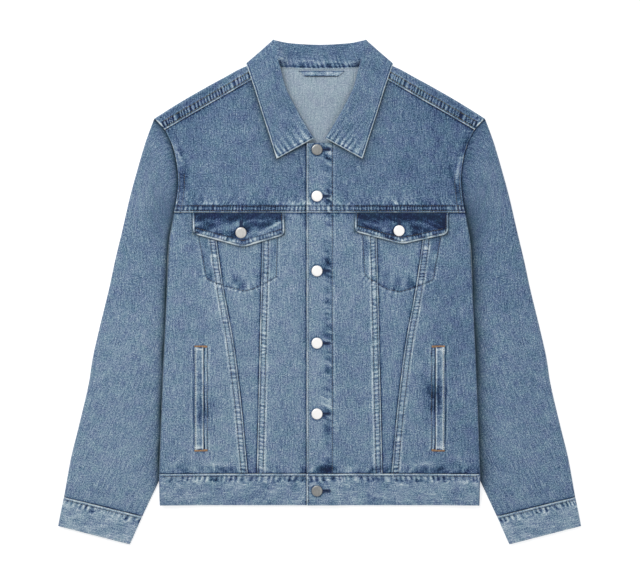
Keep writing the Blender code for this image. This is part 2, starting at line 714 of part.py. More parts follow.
def make_buttons(yoke, centre, band):
    """The six front buttons, each through a hole across the left front."""
    for number, y in enumerate(BUTTON_YS, start=1):
        holder = yoke if y > FRONT_YOKE_Y else centre
        under = BODY_HEIGHT
        over = under + OVERLAP_LIFT
        if y < BAND_TOP_Y:
            holder = band
            under = BAND_HEIGHT
            over = under + BAND_OVERLAP_LIFT
        cutter_low = (under + over - (DOUBLED if y < BAND_TOP_Y else CLOTH)) / 2
        centre_x = BUTTON_X - HOLE_BEYOND + HOLE_LENGTH / 2
        size = (HOLE_LENGTH, HOLE_WIDTH, CUTTER_HEIGHT)
        cut(holder, f"hole_front_{number}", (centre_x, y, cutter_low + CUTTER_HEIGHT / 2), size)
        button(f"front_button_{number}", BUTTON_X, y, over + STACK_GAP, under + SEAM_GAP)


def main():
    for old in list(bpy.data.objects):
        bpy.data.objects.remove(old, do_unlink=True)
    for name in ("denim_jacket", "cutters"):
        bpy.context.scene.collection.children.link(bpy.data.collections.new(name))
    bpy.data.collections["cutters"].hide_render = True
    make_back_panel()
    make_back_yoke()
    yoke, centre = make_front("left", 1)
    make_front("right", -1)
    for name, side in (("left", 1), ("right", -1)):
        make_pocket(name, side)
        make_sleeve(name, side)
    band = make_waistband()
    make_collar()
    make_loop()
    make_buttons(yoke, centre, band)


main()
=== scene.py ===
"""The looks of the denim jacket, laid flat on its back with the front up.

Tables and sizes are in millimetres, as in part.py, and a mesh is made in metres. X runs across the jacket
towards the wearer's left, Y up it towards the collar, Z away from the surface that it lies on. The two
halves of the jacket share their tables: x is then measured away from the centre line, and side is 1 for the
wearer's left and -1 for the right. Each piece of cloth is a fine sheet on the form of its CAD node. Seams
give it their laps, puckers and grooves, and a tone: above 0 where the denim has worn pale and where creases
catch painted light, and below 0 where it is still dark and where painted shade lies in grooves, under laps,
in creases and round buttons.
"""

import math

import bpy
import numpy as np
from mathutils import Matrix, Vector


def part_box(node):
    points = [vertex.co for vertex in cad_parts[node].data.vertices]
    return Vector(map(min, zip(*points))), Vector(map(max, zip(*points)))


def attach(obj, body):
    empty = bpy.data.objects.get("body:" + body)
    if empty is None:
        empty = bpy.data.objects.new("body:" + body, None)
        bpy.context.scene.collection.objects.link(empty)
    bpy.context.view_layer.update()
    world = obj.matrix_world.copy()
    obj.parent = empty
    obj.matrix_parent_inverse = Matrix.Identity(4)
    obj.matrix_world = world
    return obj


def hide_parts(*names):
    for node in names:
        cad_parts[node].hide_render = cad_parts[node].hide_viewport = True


MM = 0.001
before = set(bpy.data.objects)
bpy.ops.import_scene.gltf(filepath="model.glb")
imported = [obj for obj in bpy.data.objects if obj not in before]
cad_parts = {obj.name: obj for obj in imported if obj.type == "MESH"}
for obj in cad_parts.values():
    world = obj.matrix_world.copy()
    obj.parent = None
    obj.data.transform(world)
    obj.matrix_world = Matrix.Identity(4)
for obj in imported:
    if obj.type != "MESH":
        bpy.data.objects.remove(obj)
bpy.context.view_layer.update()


def corner(node, end, axis):
    """One coordinate of a CAD node's box in millimetres: end 0 is the lowest corner, 1 the highest."""
    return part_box(node)[end][axis] / MM


# Places read from the frame
HEM_Y = corner("waistband", 0, 1)
BAND_TOP_Y = corner("waistband", 1, 1)
FRONT_YOKE_Y = corner("front_yoke_left", 0, 1)
BACK_YOKE_Y = corner("back_yoke", 0, 1)
LEFT_FREE_X = corner("front_centre_left", 0, 0)
RIGHT_FREE_X = corner("front_centre_right", 1, 0)

# Walls and heights
CLOTH = 1.2
DOUBLED = 2.2
COLLAR_CLOTH = 2.0
BODY_HEIGHT = 5.2
SLEEVE_HEIGHT = 4.6
CUFF_HEIGHT = 5.6
BAND_HEIGHT = 5.9
STACK_GAP = 0.5
EDGE_DROP = BODY_HEIGHT / 2 - STACK_GAP
EDGE_ROUND = 7.0
SLEEVE_ROUND = 9.0
SLEEVE_PUFF = 2.6
SLEEVE_LENGTH = 595.0
CUFF_LENGTH = 46.0
CUFF_ROUND = 4.0
SLEEVE_LIFT = 5.5
LIFT_MARGIN = 10.0
LIFT_RAMP = 70.0
NECK_LIFT = 2.5
OVERLAP_LIFT = 1.6
BAND_OVERLAP_LIFT = 2.5
OVERLAP_FLAT = 20.0
OVERLAP_RAMP = 30.0
FRONT_TOP_Y = 224.0
PLACKET_X = 20.0
BAND_HALF = 240.0
LOW_Y, HIGH_Y = -330.0, 240.0  # past both ends of the front
STAND_CLOTH = 1.6
LOOP_CLOTH = 1.0
FLAP_STACK = STACK_GAP + DOUBLED + 0.3

# Back yoke: the end of its lower edge, the way in from its fold, the strips in front of the shoulders, and
# the least distance between its columns where the armhole crowds them
YOKE_FOOT_X = 216.4
YOKE_INWARDS = np.array([-0.49, -0.87])
STRIP_WIDTH = 20.0
STRIP_STEP = 1.2
COLUMN_ROOM = 0.8

# The cloth's outer and inner finish, and what the right half adds to the seeds of its noise
WASHED = ("washed_denim", "pale_denim")
WASHED_BOTH = ("washed_denim", "washed_denim")
RIGHT_SEEDS = 50

# Half outline of the body: x, y
SIDE_EDGE = (
    (239.3, -318.5),
    (240.3, -271.4),
    (235.0, -131.0),
    (229.3, -11.0),
    (224.6, 83.0),
    (217.4, 119.6),
)
ARMHOLE = (
    (217.4, 119.6),
    (214.5, 135.0),
    (211.6, 167.0),
    (213.7, 191.5),
    (220.0, 219.0),
    (231.5, 243.8),
    (247.6, 260.6),
)
SHOULDER_FOLD = (
    (87.2, 345.0), (108.0, 339.4), (146.0, 320.5), (184.0, 299.5), (220.0, 278.2), (247.6, 260.6),
)
SHOULDER_SEAM = (
    (83.7, 328.6), (114.0, 311.4), (140.0, 296.5), (175.0, 276.6), (207.0, 258.2), (231.5, 243.8),
)
INSERT_INNER = ((94.0, -271.4), (90.5, -120.0), (88.0, -11.0), (84.6, 119.6))
INSERT_OUTER = ((107.6, -271.4), (118.5, -155.0), (130.4, -64.6), (140.6, -11.0), (160.0, 119.6))

# Sleeve, a row for each line across it from the armhole to the cuff: inner x, inner y, outer x, outer y
SLEEVE_ROWS = (
    (217.7, 119.2, 247.9, 260.4),
    (214.0, 110.0, 260.0, 228.0),
    (200.0, 96.0, 272.5, 186.0),
    (182.0, 76.0, 284.5, 142.0),
    (166.0, 48.0, 296.0, 92.0),
    (155.0, 20.0, 306.5, 48.0),
    (151.0, -12.0, 315.0, 8.0),
    (152.0, -46.0, 323.5, -27.0),
    (159.0, -83.0, 331.5, -60.0),
    (170.0, -123.0, 340.0, -98.0),
    (185.0, -163.0, 345.5, -134.0),
    (203.0, -203.0, 354.0, -172.0),
    (222.0, -243.0, 364.0, -213.0),
    (240.2, -281.3, 373.0, -250.0),
    (265.6, -335.0, 383.0, -306.0),
)
UNDERARM_BENDS = ((221.0, 114.5), (225.0, 101.0), (228.0, 85.0), (229.0, 69.3))
CUFF_ROWS = ((265.8, -335.4, 383.1, -306.4), (275.0, -356.4, 387.6, -328.0), (284.3, -377.3, 391.9, -349.7))

# Collar, a section for each place round the neck, from the front end of a leaf to the middle of the back:
# roll line x, y, outer edge x, y, neck seam x, y, and how far the section has turned under, 0 to 1
COLLAR_SECTIONS = (
    (9.0, 230.0, 64.3, 200.0, 17.0, 226.5, 0.0),
    (22.0, 252.0, 70.0, 219.0, 40.0, 240.0, 0.0),
    (35.0, 275.0, 77.0, 241.0, 58.0, 262.0, 0.0),
    (50.0, 305.0, 87.0, 272.0, 72.0, 292.0, 0.0),
    (59.0, 337.0, 98.0, 307.0, 83.2, 328.6, 0.0),
    (66.0, 362.0, 106.6, 332.0, 84.6, 338.0, 0.13),
    (70.0, 377.3, 110.0, 343.0, 86.0, 345.8, 0.5),
    (65.0, 376.0, 105.0, 336.0, 84.0, 344.0, 0.87),
    (45.0, 373.6, 82.0, 318.0, 62.0, 338.0, 1.0),
    (22.0, 371.8, 44.0, 312.0, 35.0, 335.4, 1.0),
    (0.0, 371.0, 0.0, 310.0, 0.0, 335.0, 1.0),
)
COLLAR_ROLL = 4.0
COLLAR_TOP = 3.2
STAND_TOP = 0.8
STAND_LOW = 2.4
STAND_INSET = 3.6
BANK_WIDTH = 12.0
FALL_STOPS = 62.0
FALL_WIDTH = 55.0
STAND_WIDTH = 34.0
LOOP_TAPER = 10.0

FLAPS = {
    "left": {"inner": (52.5, 91.0), "outer": (191.5, 87.3), "point": (123.6, 72.3), "button": (118.8, 92.3)},
    "right": {"inner": (52.4, 86.3), "outer": (189.0, 87.7), "point": (114.3, 67.7), "button": (117.5, 89.3)},
}
FLAP_TOP_Y = 118.6
FLAP_CORNER = 8.0
FLAP_ROWS = (2.9, 9.2)
POCKETS = {
    "left": (
        (66.8, 26.0), (74.0, 20.0), (100.8, 4.0), (119.6, 0.0), (138.3, 5.3), (165.0, 16.0), (170.4, 18.7),
    ),
    "right": (
        (63.9, 23.0), (84.6, 11.3), (100.0, 4.5), (111.8, 1.0), (141.5, 8.8), (165.0, 17.5), (169.8, 20.5),
    ),
}
POCKET_TOP = ((61.5, 112.0), (187.0, 112.0))
WELT_INNER_X, WELT_OUTER_X = 173.6, 187.5
WELT_TOP_Y, WELT_BOTTOM_Y = -81.3, -235.6
WELT_FRAME_X = 167.6

# Creases, listed one by one: part, side (0 for both), line, width, height and tone
CREASES = (
    ("yoke", 1, ((216.0, 214.0), (209.0, 192.0), (204.0, 172.0), (203.0, 156.0)), 3.4, 1.2, 0.75),
    ("yoke", 1, ((192.0, 198.0), (198.0, 176.0), (205.0, 154.0), (213.0, 134.0)), 3.6, -1.0, -0.65),
    ("yoke", 1, ((228.0, 238.0), (219.0, 224.0), (213.0, 204.0)), 3.0, -0.6, -0.5),
    ("yoke", -1, ((223.0, 230.0), (214.0, 212.0), (206.0, 196.0), (200.0, 180.0)), 2.6, 1.2, 0.8),
    ("yoke", -1, ((219.0, 208.0), (213.0, 194.0), (208.0, 182.0)), 3.2, 0.5, 0.35),
    ("yoke", -1, ((214.0, 222.0), (203.0, 196.0), (198.0, 168.0)), 4.5, -0.8, -0.32),
    ("yoke", -1, ((203.0, 186.0), (203.0, 168.0), (206.0, 148.0)), 7.0, -0.8, -0.6),
    ("yoke", 0, ((150.0, 250.0), (166.0, 214.0), (176.0, 178.0)), 13.0, 0.5, 0.06),
    ("yoke", 0, ((120.0, 230.0), (128.0, 196.0), (150.0, 160.0)), 12.0, -0.5, -0.07),
    ("yoke", -1, ((30.9, 215.6), (26.0, 190.0), (21.3, 162.7)), 1.3, 0.6, 0.6),
    ("yoke", -1, ((33.2, 215.6), (28.2, 190.0), (23.3, 163.0)), 1.1, -0.4, -0.5),
    ("front", 0, ((228.0, 100.0), (208.0, 80.0), (196.0, 50.0)), 5.0, 0.6, 0.08),
    ("front", 0, ((222.0, 112.0), (206.0, 96.0), (198.0, 76.0)), 4.0, -0.6, -0.12),
    ("front", 1, ((-10.0, -263.0), (8.0, -264.5), (28.0, -261.0)), 6.0, -1.0, -1.3),
    ("front", 1, ((70.0, -265.0), (88.0, -265.5), (106.0, -264.0)), 4.5, -0.8, -0.6),
    ("front", 1, ((148.0, -264.0), (170.0, -266.0), (196.0, -263.0)), 4.5, -0.8, -0.6),
    ("front", 0, ((130.0, -262.0), (150.0, -257.0), (176.0, -259.0)), 2.4, 0.5, 0.45),
    ("front", -1, ((124.0, -264.0), (142.0, -266.0), (162.0, -264.0)), 4.0, -0.7, -0.45),
    ("front", -1, ((88.0, -266.0), (98.0, -267.0), (110.0, -266.0)), 4.0, -0.6, -0.3),
    ("front", 0, ((226.0, -262.0), (212.0, -252.0), (203.0, -236.0)), 2.6, 0.6, 0.34),
    ("front", 0, ((216.0, -266.0), (206.0, -258.0), (190.0, -254.0)), 2.6, -0.5, -0.25),
    ("front", 0, ((150.0, -262.0), (163.0, -254.0), (180.0, -256.0)), 2.6, 0.5, 0.2),
    ("front", 0, ((232.0, -180.0), (214.0, -168.0), (204.0, -140.0)), 9.0, 0.6, 0.05),
    ("front", 0, ((60.0, -240.0), (48.0, -200.0), (52.0, -150.0)), 11.0, -0.5, -0.05),
    ("front", 0, ((40.0, 60.0), (48.0, 10.0), (44.0, -50.0)), 12.0, 0.5, 0.05),
    ("sleeve", 0, ((250.0, 205.0), (262.0, 150.0), (276.0, 90.0)), 14.0, 1.2, 0.08),
    ("sleeve", 0, ((226.0, 150.0), (240.0, 110.0), (246.0, 60.0)), 10.0, -1.0, -0.08),
    ("sleeve", 0, ((240.0, 40.0), (268.0, 0.0), (300.0, -30.0)), 12.0, -0.9, -0.06),
    ("sleeve", 0, ((246.0, -20.0), (272.0, -70.0), (310.0, -110.0)), 14.0, 1.0, 0.07),
    ("sleeve", 0, ((252.0, -120.0), (280.0, -165.0), (322.0, -190.0)), 12.0, -0.9, -0.06),
    ("sleeve", 0, ((262.0, -190.0), (290.0, -230.0), (330.0, -262.0)), 12.0, 0.9, 0.07),
    ("sleeve", 0, ((280.0, -318.0), (302.0, -302.0), (318.0, -280.0)), 5.0, 0.8, 0.14),
    ("sleeve", 0, ((320.0, -312.0), (334.0, -298.0), (350.0, -286.0)), 4.0, -0.7, -0.16),
)

BUTTON_RADIUS = 8.2
BUTTON_X = -3.9
BUTTON_YS = (213.7, 144.2, 32.2, -75.8, -181.6, -296.6)
BUTTON_HEIGHT = 2.6
SHANK_RADIUS = 1.9
BUTTON_PROFILE = (
    (0.0, 2.52), (3.0, 2.5), (6.0, 2.42), (7.0, 2.32), (7.6, 2.1), (8.0, 1.75), (BUTTON_RADIUS, 1.3),
    (8.1, 0.85), (7.8, 0.45), (7.2, 0.1), (6.5, 0.0), (SHANK_RADIUS, 0.0),
)
BUTTON_SIDES = 48
SLIT_DEPTH = 0.6
HOLE_LENGTH = 22.0
HOLE_START = 3.4
HOLE_PITCH = 0.75
HOLE_GAP = 0.5
HOLE_STITCH = 1.9
HOLE_FAN = 2.3
POCKET_HOLE_SHARE = 0.9
THREAD_LIFT = 0.1
DENT_DEPTH = 0.35
# Button finishes: lit and shaded copies of one metal. The greyer ones are painted shade on buttons that lie
# in shade.
BUTTON_FINISHES = {
    "front_button_1": "shaded_metal",
    "front_button_6": "shaded_metal",
    "pocket_button_right": "half_shaded_metal",
}

# Steps of the fine sheets, near a seam and away from it
SEAM_STEPS = (0.0, 0.4, 0.9, 1.5, 2.2, 3.1, 4.3, 5.7, 7.1, 8.5, 9.5, 10.5, 11.8)
FINE = 1.8
YOKE_STEP = 1.5
LENGTH_STEP = 2.05
MIDDLING = 2.6
SLEEVE_STEP = 3.2
CUFF_STEP = 1.6
FLAP_STEP = 1.3
COARSE = 10.0

# Seams, measured in from the fold. band is the raised lap's width and rows its stitch rows; pitch, slant and
# pucker are the spacing, lean and height of the puckers between them. The rest are tones: rope of the
# puckers, edge of the fold, rail of the lap's far side, shade of the cloth between the rows, wisps of the
# streaks that fan out beyond the lap, row of the painted shade in the stitch rows' grooves and smudge of the
# cloth below the seam. pale is the most that a pucker can rise or pale.
SEAM_FIELDS = (
    "band", "rows", "pitch", "slant", "pucker", "rope", "edge", "rail", "shade",
    "wisps", "row", "pale", "smudge",
)
SEAM_ROWS = {
    "yoke": (11.0, (2.8, 9.8), 6.8, 0.15, 0.3, 0.8, 0.95, 0.25, 0.08, 1.6, 0.7, 0.9, 0.35),
    "inner": (11.0, (2.5, 9.4), 5.6, 0.2, 0.2, 0.8, 1.0, 1.0, 0.26, 0.0, 0.7, 1.0, 0.0),
    "outer": (11.0, (2.5, 9.4), 5.6, 0.2, 0.2, 0.8, 1.0, 1.0, 0.26, 0.0, 0.7, 1.0, 0.0),
    "shoulder": (12.5, (3.0, 12.0), 5.4, 0.25, 0.5, 1.6, 1.4, 0.55, -0.05, 0.0, 0.5, 0.45, 0.0),
    "armhole": (10.5, (2.5, 9.4), 7.0, 0.2, 0.25, 0.22, 0.3, 0.1, 0.0, 0.2, 0.2, 0.8, 0.0),
    "waist": (3.0, (3.4,), 8.4, 0.1, 0.3, 0.2, 1.0, 0.0, 0.0, 0.0, 0.5, 1.0, 0.45),
    "cuff": (3.0, (3.4,), 7.6, 0.1, 0.3, 0.2, 1.0, 0.0, 0.0, 0.0, 0.5, 1.0, 0.0),
    "free": (4.0, (), 9.0, 0.0, 0.1, 0.1, 0.9, 0.0, 0.0, 0.0, 0.6, 1.0, 0.0),
}
SEAMS = {name: dict(zip(SEAM_FIELDS, row)) for name, row in SEAM_ROWS.items()}
# The yoke seam's puckers run closer over the flaps: x, and how far the puckers have run by there
YOKE_PACE = ((-30.0, -30.0), (50.0, 50.0), (192.0, 270.0), (218.0, 296.0))
LAP = 0.9
LAP_SLOPE = 3.0
GROOVE = 0.24
GROOVE_WIDTH = 0.8

# Thread
STITCH_PITCH = 3.3
STITCH_LENGTH = 2.5
STITCH_RADIUS = 0.42
ARMHOLE_ROWS_TOP_Y = 184.0
TACK_LENGTH = 3.2
TACK_HALF = 9.5
OLIVE_RADIUS = 0.7
RUST_RADIUS = 0.55
NAVY_RADIUS = 0.5
FLAP_PITCH, FLAP_STITCH = 2.9, 2.2


def smooth(share):
    """0 to 1 with level ends, for a share that may run past them."""
    share = np.clip(share, 0.0, 1.0)
    return share * share * (3.0 - 2.0 * share)


def bell(distance, width):
    return np.exp(-((distance / width) ** 2))


def noise(x, y, size, seed):
    """Soft random values, -1 to 1, that change over about this size."""
    cells = np.random.default_rng(seed).uniform(-1.0, 1.0, (64, 64))
    across, along = np.asarray(x, float) / size, np.asarray(y, float) / size
    column, row = np.floor(across).astype(int), np.floor(along).astype(int)
    u, v = smooth(across - column), smooth(along - row)
    low = cells[column % 64, row % 64] * (1 - u) + cells[(column + 1) % 64, row % 64] * u
    high = cells[column % 64, (row + 1) % 64] * (1 - u) + cells[(column + 1) % 64, (row + 1) % 64] * u
    return low * (1 - v) + high * v


def rounding(distance, width):
    """1 at an edge, and falling to 0 at this width in from it."""
    return np.clip(1.0 - distance / width, 0.0, 1.0) ** 2


def half_name(side):
    return "left" if side > 0 else "right"


def seed_shift(side):
    return 0 if side > 0 else RIGHT_SEEDS


def mirrored(points, side):
    """The points of one half, whose last axis starts with x, on their own side of the centre line."""
    return points * ((side,) + (1.0,) * (points.shape[-1] - 1))


def raised(plan, height):
    return np.concatenate([plan, height[..., None]], axis=-1)


def run_along(steps):
    """Distances from the start of a line, from the steps between its points."""
    return np.concatenate([[0.0], np.cumsum(steps)])


def upright(x, low, high):
    return ((x, low), (x, high))


def moved(points, dx, dy=0.0):
    return tuple((x + dx, y + dy) for x, y in points)


def shares_of(path):
    """How far along a line of straight runs each of its points is, 0 to 1."""
    steps = np.hypot(*np.diff(np.array(path, float), axis=0).T)
    return np.concatenate([[0.0], np.cumsum(steps) / steps.sum()])


def length_of(path):
    return np.hypot(*np.diff(np.array(path, float), axis=0).T).sum()


def walk(path, shares):
    """The points at these shares of a path's length."""
    path = np.array(path, float)
    at = shares_of(path)
    return np.stack([np.interp(shares, at, path[:, axis]) for axis in range(path.shape[1])], axis=-1)


def spline(at, places, values):
    """A smooth curve through the values, with slopes from their neighbours."""
    places, values = np.array(places, float), np.array(values, float)
    slopes = np.gradient(values, places)
    index = np.clip(np.searchsorted(places, at, side="right") - 1, 0, len(places) - 2)
    step = places[index + 1] - places[index]
    t = np.clip((at - places[index]) / step, 0.0, 1.0)
    start = (2 * t**3 - 3 * t**2 + 1) * values[index] + (t**3 - 2 * t**2 + t) * step * slopes[index]
    end = (3 * t**2 - 2 * t**3) * values[index + 1] + (t**3 - t**2) * step * slopes[index + 1]
    return start + end


def curved(points, spacing=4.0):
    """A line of short runs along a smooth curve through the points."""
    at = shares_of(points)
    fine = np.linspace(0.0, 1.0, max(2, int(length_of(points) / spacing)) + 1)
    return tuple(zip(*[spline(fine, at, column) for column in zip(*points)]))


def stops(length, spacing, first=True, last=True):
    """Shares of a length: even steps, with the seam's closer ones at the ends asked for."""
    close = np.array([step for step in SEAM_STEPS if step < 0.4 * length])
    start = close if first else close[:1]
    end = length - (close if last else close[:1])[::-1]
    count = max(1, int(round((end[0] - start[-1]) / spacing)))
    return np.concatenate([start, np.linspace(start[-1], end[0], count + 1)[1:-1], end]) / length


def patch(bottom, top, left, right, us, vs):
    """Points (u, v, 2) of the surface that fills four edges."""
    low, high = walk(bottom, us), walk(top, us)
    start, end = walk(left, vs), walk(right, vs)
    u, v = us[:, None, None], vs[None, :, None]
    corners = (1 - u) * (1 - v) * low[0] + u * (1 - v) * low[-1] + (1 - u) * v * high[0] + u * v * high[-1]
    return (1 - v) * low[:, None] + v * high[:, None] + (1 - u) * start[None] + u * end[None] - corners


def near(line, x, y):
    """How far each point is from a line, above 0 on its left, and how far along the line it is."""
    nearest = np.full(np.shape(x), np.inf)
    signed, along = np.zeros(np.shape(x)), np.zeros(np.shape(x))
    start = 0.0
    for (ax, ay), (bx, by) in zip(line[:-1], line[1:]):
        dx, dy = bx - ax, by - ay
        length = math.hypot(dx, dy)
        t = np.clip(((x - ax) * dx + (y - ay) * dy) / length**2, 0.0, 1.0)
        distance = np.hypot(x - ax - t * dx, y - ay - t * dy)
        closer = distance < nearest
        nearest = np.where(closer, distance, nearest)
        side = np.where(dx * (y - ay) - dy * (x - ax) >= 0, 1.0, -1.0)
        signed = np.where(closer, side * distance, signed)
        along = np.where(closer, start + t * length, along)
        start += length
    return signed, along


# Heights of the CAD's faces, which the fine sheets follow


def outside_sleeve(x, y):
    """How far points of the body lie outside the stretch of sleeve beneath it."""
    edge = [row[:2] for row in SLEEVE_ROWS[:-1]]
    edge += [(320.0, SLEEVE_ROWS[-2][1]), (320.0, SLEEVE_ROWS[0][1]), SLEEVE_ROWS[0][:2]]
    signed, _ = near(edge, np.abs(x), y)
    return np.maximum(-signed, 0.0)


def back_height(x, y):
    """Height of the outer, lower face of the back."""
    x, y = np.asarray(x, float), np.asarray(y, float)
    lifted = SLEEVE_LIFT * (1.0 - smooth((outside_sleeve(x, y) - LIFT_MARGIN) / LIFT_RAMP))
    at_neck = smooth((y - 272.0) / 28.0) * smooth((150.0 - np.abs(x)) / 32.0)
    return lifted + NECK_LIFT * at_neck


def overlap(x):
    return 1.0 - smooth((np.abs(x) - OVERLAP_FLAT) / OVERLAP_RAMP)


def side_x(y):
    return np.interp(y, [p[1] for p in SIDE_EDGE], [p[0] for p in SIDE_EDGE])


def edge_turn(x, y):
    """How far the cloth has turned down at the body's soft side edge."""
    inwards = np.clip(side_x(y) - np.abs(x), 0.0, EDGE_ROUND) / EDGE_ROUND
    turned = EDGE_DROP * (1.0 - np.sqrt(np.maximum(1.0 - (1.0 - inwards) ** 2, 0.0)))
    return turned * (1.0 - smooth((y - 100.0) / 15.0))


def front_base(x, y, side):
    """Height of the front's outer face, before its seams: x is measured away from the centre line."""
    height = back_height(x, y) + BODY_HEIGHT - edge_turn(x, y)
    if side > 0:
        height = height + OVERLAP_LIFT * overlap(x)
    soft = 0.45 * noise(side * x, y, 52.0, 3) + 0.22 * noise(side * x, y, 23.0, 4)
    return height + soft * (1.0 - bell(side_x(y) - x, 12.0))


# Seams


def ridges(along, pitch, seed):
    """Uneven puckers along a seam, -1 to 1."""
    drift = 0.8 * noise(along, seed, pitch * 2.6, seed) + 0.3 * noise(along, seed, pitch * 1.1, seed + 1)
    strength = 0.6 + 0.4 * noise(along, seed, pitch * 1.7, seed + 2)
    return np.sin(2.0 * math.pi * (along / pitch + drift)) * strength


def wisps(along, out, lean, seed):
    """Short thin streaks that run out from a seam with a lean: above 0 pale, below 0 dark."""
    streak = noise(along + lean * out, 0.16 * out, 2.6, seed)
    other = noise(along - 0.7 * lean * out, 0.14 * out, 3.3, seed + 1)
    return np.maximum(streak - 0.1, 0.0) + np.maximum(other - 0.2, 0.0) - 0.7 * np.maximum(-streak - 0.3, 0.0)


def lapped(seam, distance, along, seed):
    """(height, tone) that a lapped seam gives its upper piece, in from the fold."""
    wave = np.minimum(ridges(along + seam["slant"] * distance, seam["pitch"], seed), seam["pale"])
    band = seam["band"]
    first, last = (seam["rows"][0], seam["rows"][-1]) if seam["rows"] else (0.8, band)
    last = max(last, band - 1.0)
    between = smooth((distance - first + 1.4) / 1.6) * (1.0 - smooth((distance - last) / 1.6))
    beyond = np.maximum(distance - band, 0.0)
    height = LAP * (1.0 - smooth((distance - band) / LAP_SLOPE))
    height -= 0.6 * rounding(distance, 0.9)
    height += seam["pucker"] * wave * between
    worn = 0.62 + 0.38 * noise(along, distance, 14.0, seed + 5)
    tone = seam["edge"] * bell(distance - 0.5, 1.1) * worn
    tone += seam["rope"] * wave * between + seam["shade"] * between
    tone += seam["rail"] * bell(distance - band - 0.6, 1.2) * worn
    fan = wisps(along, beyond, 0.8, seed + 7) * np.exp(-beyond / 8.5) * smooth((beyond + 0.5) / 3.5)
    tone += seam["wisps"] * fan
    height += 0.3 * seam["wisps"] * fan
    # Each stitch row sinks in a groove, and its tone is painted shade in that groove.
    for row in seam["rows"]:
        height -= GROOVE * bell(distance - row, GROOVE_WIDTH)
        tone -= seam["row"] * bell(distance - row, 1.1)
    return height, tone


def under_lap(seam, distance, along, seed):
    """(height, tone) that a lapped seam gives its lower piece, out from the fold. Its dark band beside the
    fold is partly denim kept dark under the lap and partly painted shadow of the lap.
    """
    wave = ridges(along, seam["pitch"], seed)
    height = 0.7 * seam["pucker"] * wave * np.exp(-distance / 5.0) - 0.3 * np.exp(-distance / 1.6)
    patchy = 0.75 + 0.25 * noise(along, distance, 12.0, seed + 6)
    # Dark band by the fold: partly denim kept dark under the lap, partly painted shadow of the lap.
    tone = -1.1 * bell(distance, 1.7) * patchy + 0.3 * seam["rope"] * wave * np.exp(-distance / 4.0)
    tone -= 0.3 * np.exp(-distance / 5.0) * patchy
    smudge = noise(along + 0.8 * distance, 0.6 * distance, 6.0, seed + 12)
    tone += seam["smudge"] * smudge * bell(distance - 5.0, 6.0)
    return height, tone


def banded(seam, distance, along, seed):
    """(height, tone) of a doubled band below its top edge: puckers from the edge and a blotched ridge."""
    height, tone = lapped(seam, distance, along, seed)
    wave = ridges(along + 0.25 * distance, seam["pitch"], seed)
    zone = smooth((distance - 2.5) / 1.5) * (1.0 - smooth((distance - 8.0) / 6.0))
    blotch = np.maximum(noise(along + 1.2 * distance, 0.5 * distance, 6.0, seed + 8) + 0.3, 0.0)
    ridge = bell(distance - 9.0 - 2.5 * noise(along, 0.0, 24.0, seed + 9), 3.2)
    lit = np.maximum(noise(along - 1.6 * distance, 0.5 * distance, 5.0, seed + 11), 0.0)
    lit = lit * bell(distance - 13.0, 4.5)
    crease = noise(0.55 * along + 0.9 * distance, 0.35 * along - 0.3 * distance, 5.0, seed + 10)
    cloudy = smooth((distance - 8.0) / 6.0)
    height += 0.4 * wave * zone - 0.4 * blotch * ridge + 0.2 * crease * cloudy + 0.3 * lit
    tone = tone + 1.0 * wave * zone + 0.1 * zone - 0.9 * blotch * ridge + 0.2 * crease * cloudy + 0.9 * lit
    return height, tone


def embossed(distance, along, seed, pucker):
    """(height, tone) of a stitched outline over a hidden layer, which lies where distance is above 0."""
    wave = ridges(along, 6.8, seed)
    height = 0.4 * smooth((distance + 0.4) / 1.6) - GROOVE * bell(distance - 1.0, GROOVE_WIDTH)
    height += pucker * wave * np.exp(-np.abs(distance) / 4.5)
    # The dark line is painted shade in the stitch row's groove.
    tone = -0.6 * bell(distance - 0.8, 1.1) + 0.4 * bell(distance + 1.5, 1.2)
    tone += 1.7 * pucker * wave * np.exp(-np.abs(distance) / 5.0)
    return height, tone


def creases(part, side, x, y):
    """(height, tone) of the creases that lie on one part of one half. Their tone follows their height, pale
    on the ridges and dark in the valleys: partly worn crease lines, partly painted light and shade.
    """
    height, tone = np.zeros(np.shape(x)), np.zeros(np.shape(x))
    for where, half, line, width, rise, shade in CREASES:
        if where != part or half not in (0, side):
            continue
        line = curved(line)
        distance, along = near(line, x, y)
        length = length_of(line)
        ends = smooth(along / (0.3 * length)) * smooth((length - along) / (0.3 * length))
        uneven = 0.8 + 0.2 * noise(x, y, 9.0, 17)
        # The tone is partly worn crease lines and partly painted light on the ridges and painted shade in the
        # valleys.
        height += rise * bell(distance, width) * ends * uneven
        tone += shade * bell(distance, width) * ends * uneven
    return height, tone


def button_dents_and_shadow_rings(spots, x, y):
    """(height, tone) of the hollows that buttons press into the cloth, and the painted shadow round each
    button.
    """
    height, tone = np.zeros(np.shape(x)), np.zeros(np.shape(x))
    for spot in spots:
        away = np.hypot(x - spot[0], y - spot[1])
        height -= DENT_DEPTH * (1.0 - smooth((away - 4.0) / 7.0))
        # Painted shadow: a dark ring at the button's rim and a faint darkening under it.
        tone -= 0.5 * bell(away - 8.9, 1.6) + 0.12 * bell(away, 13.0)
    return height, tone


def flipped(line):
    return tuple(line)[::-1]


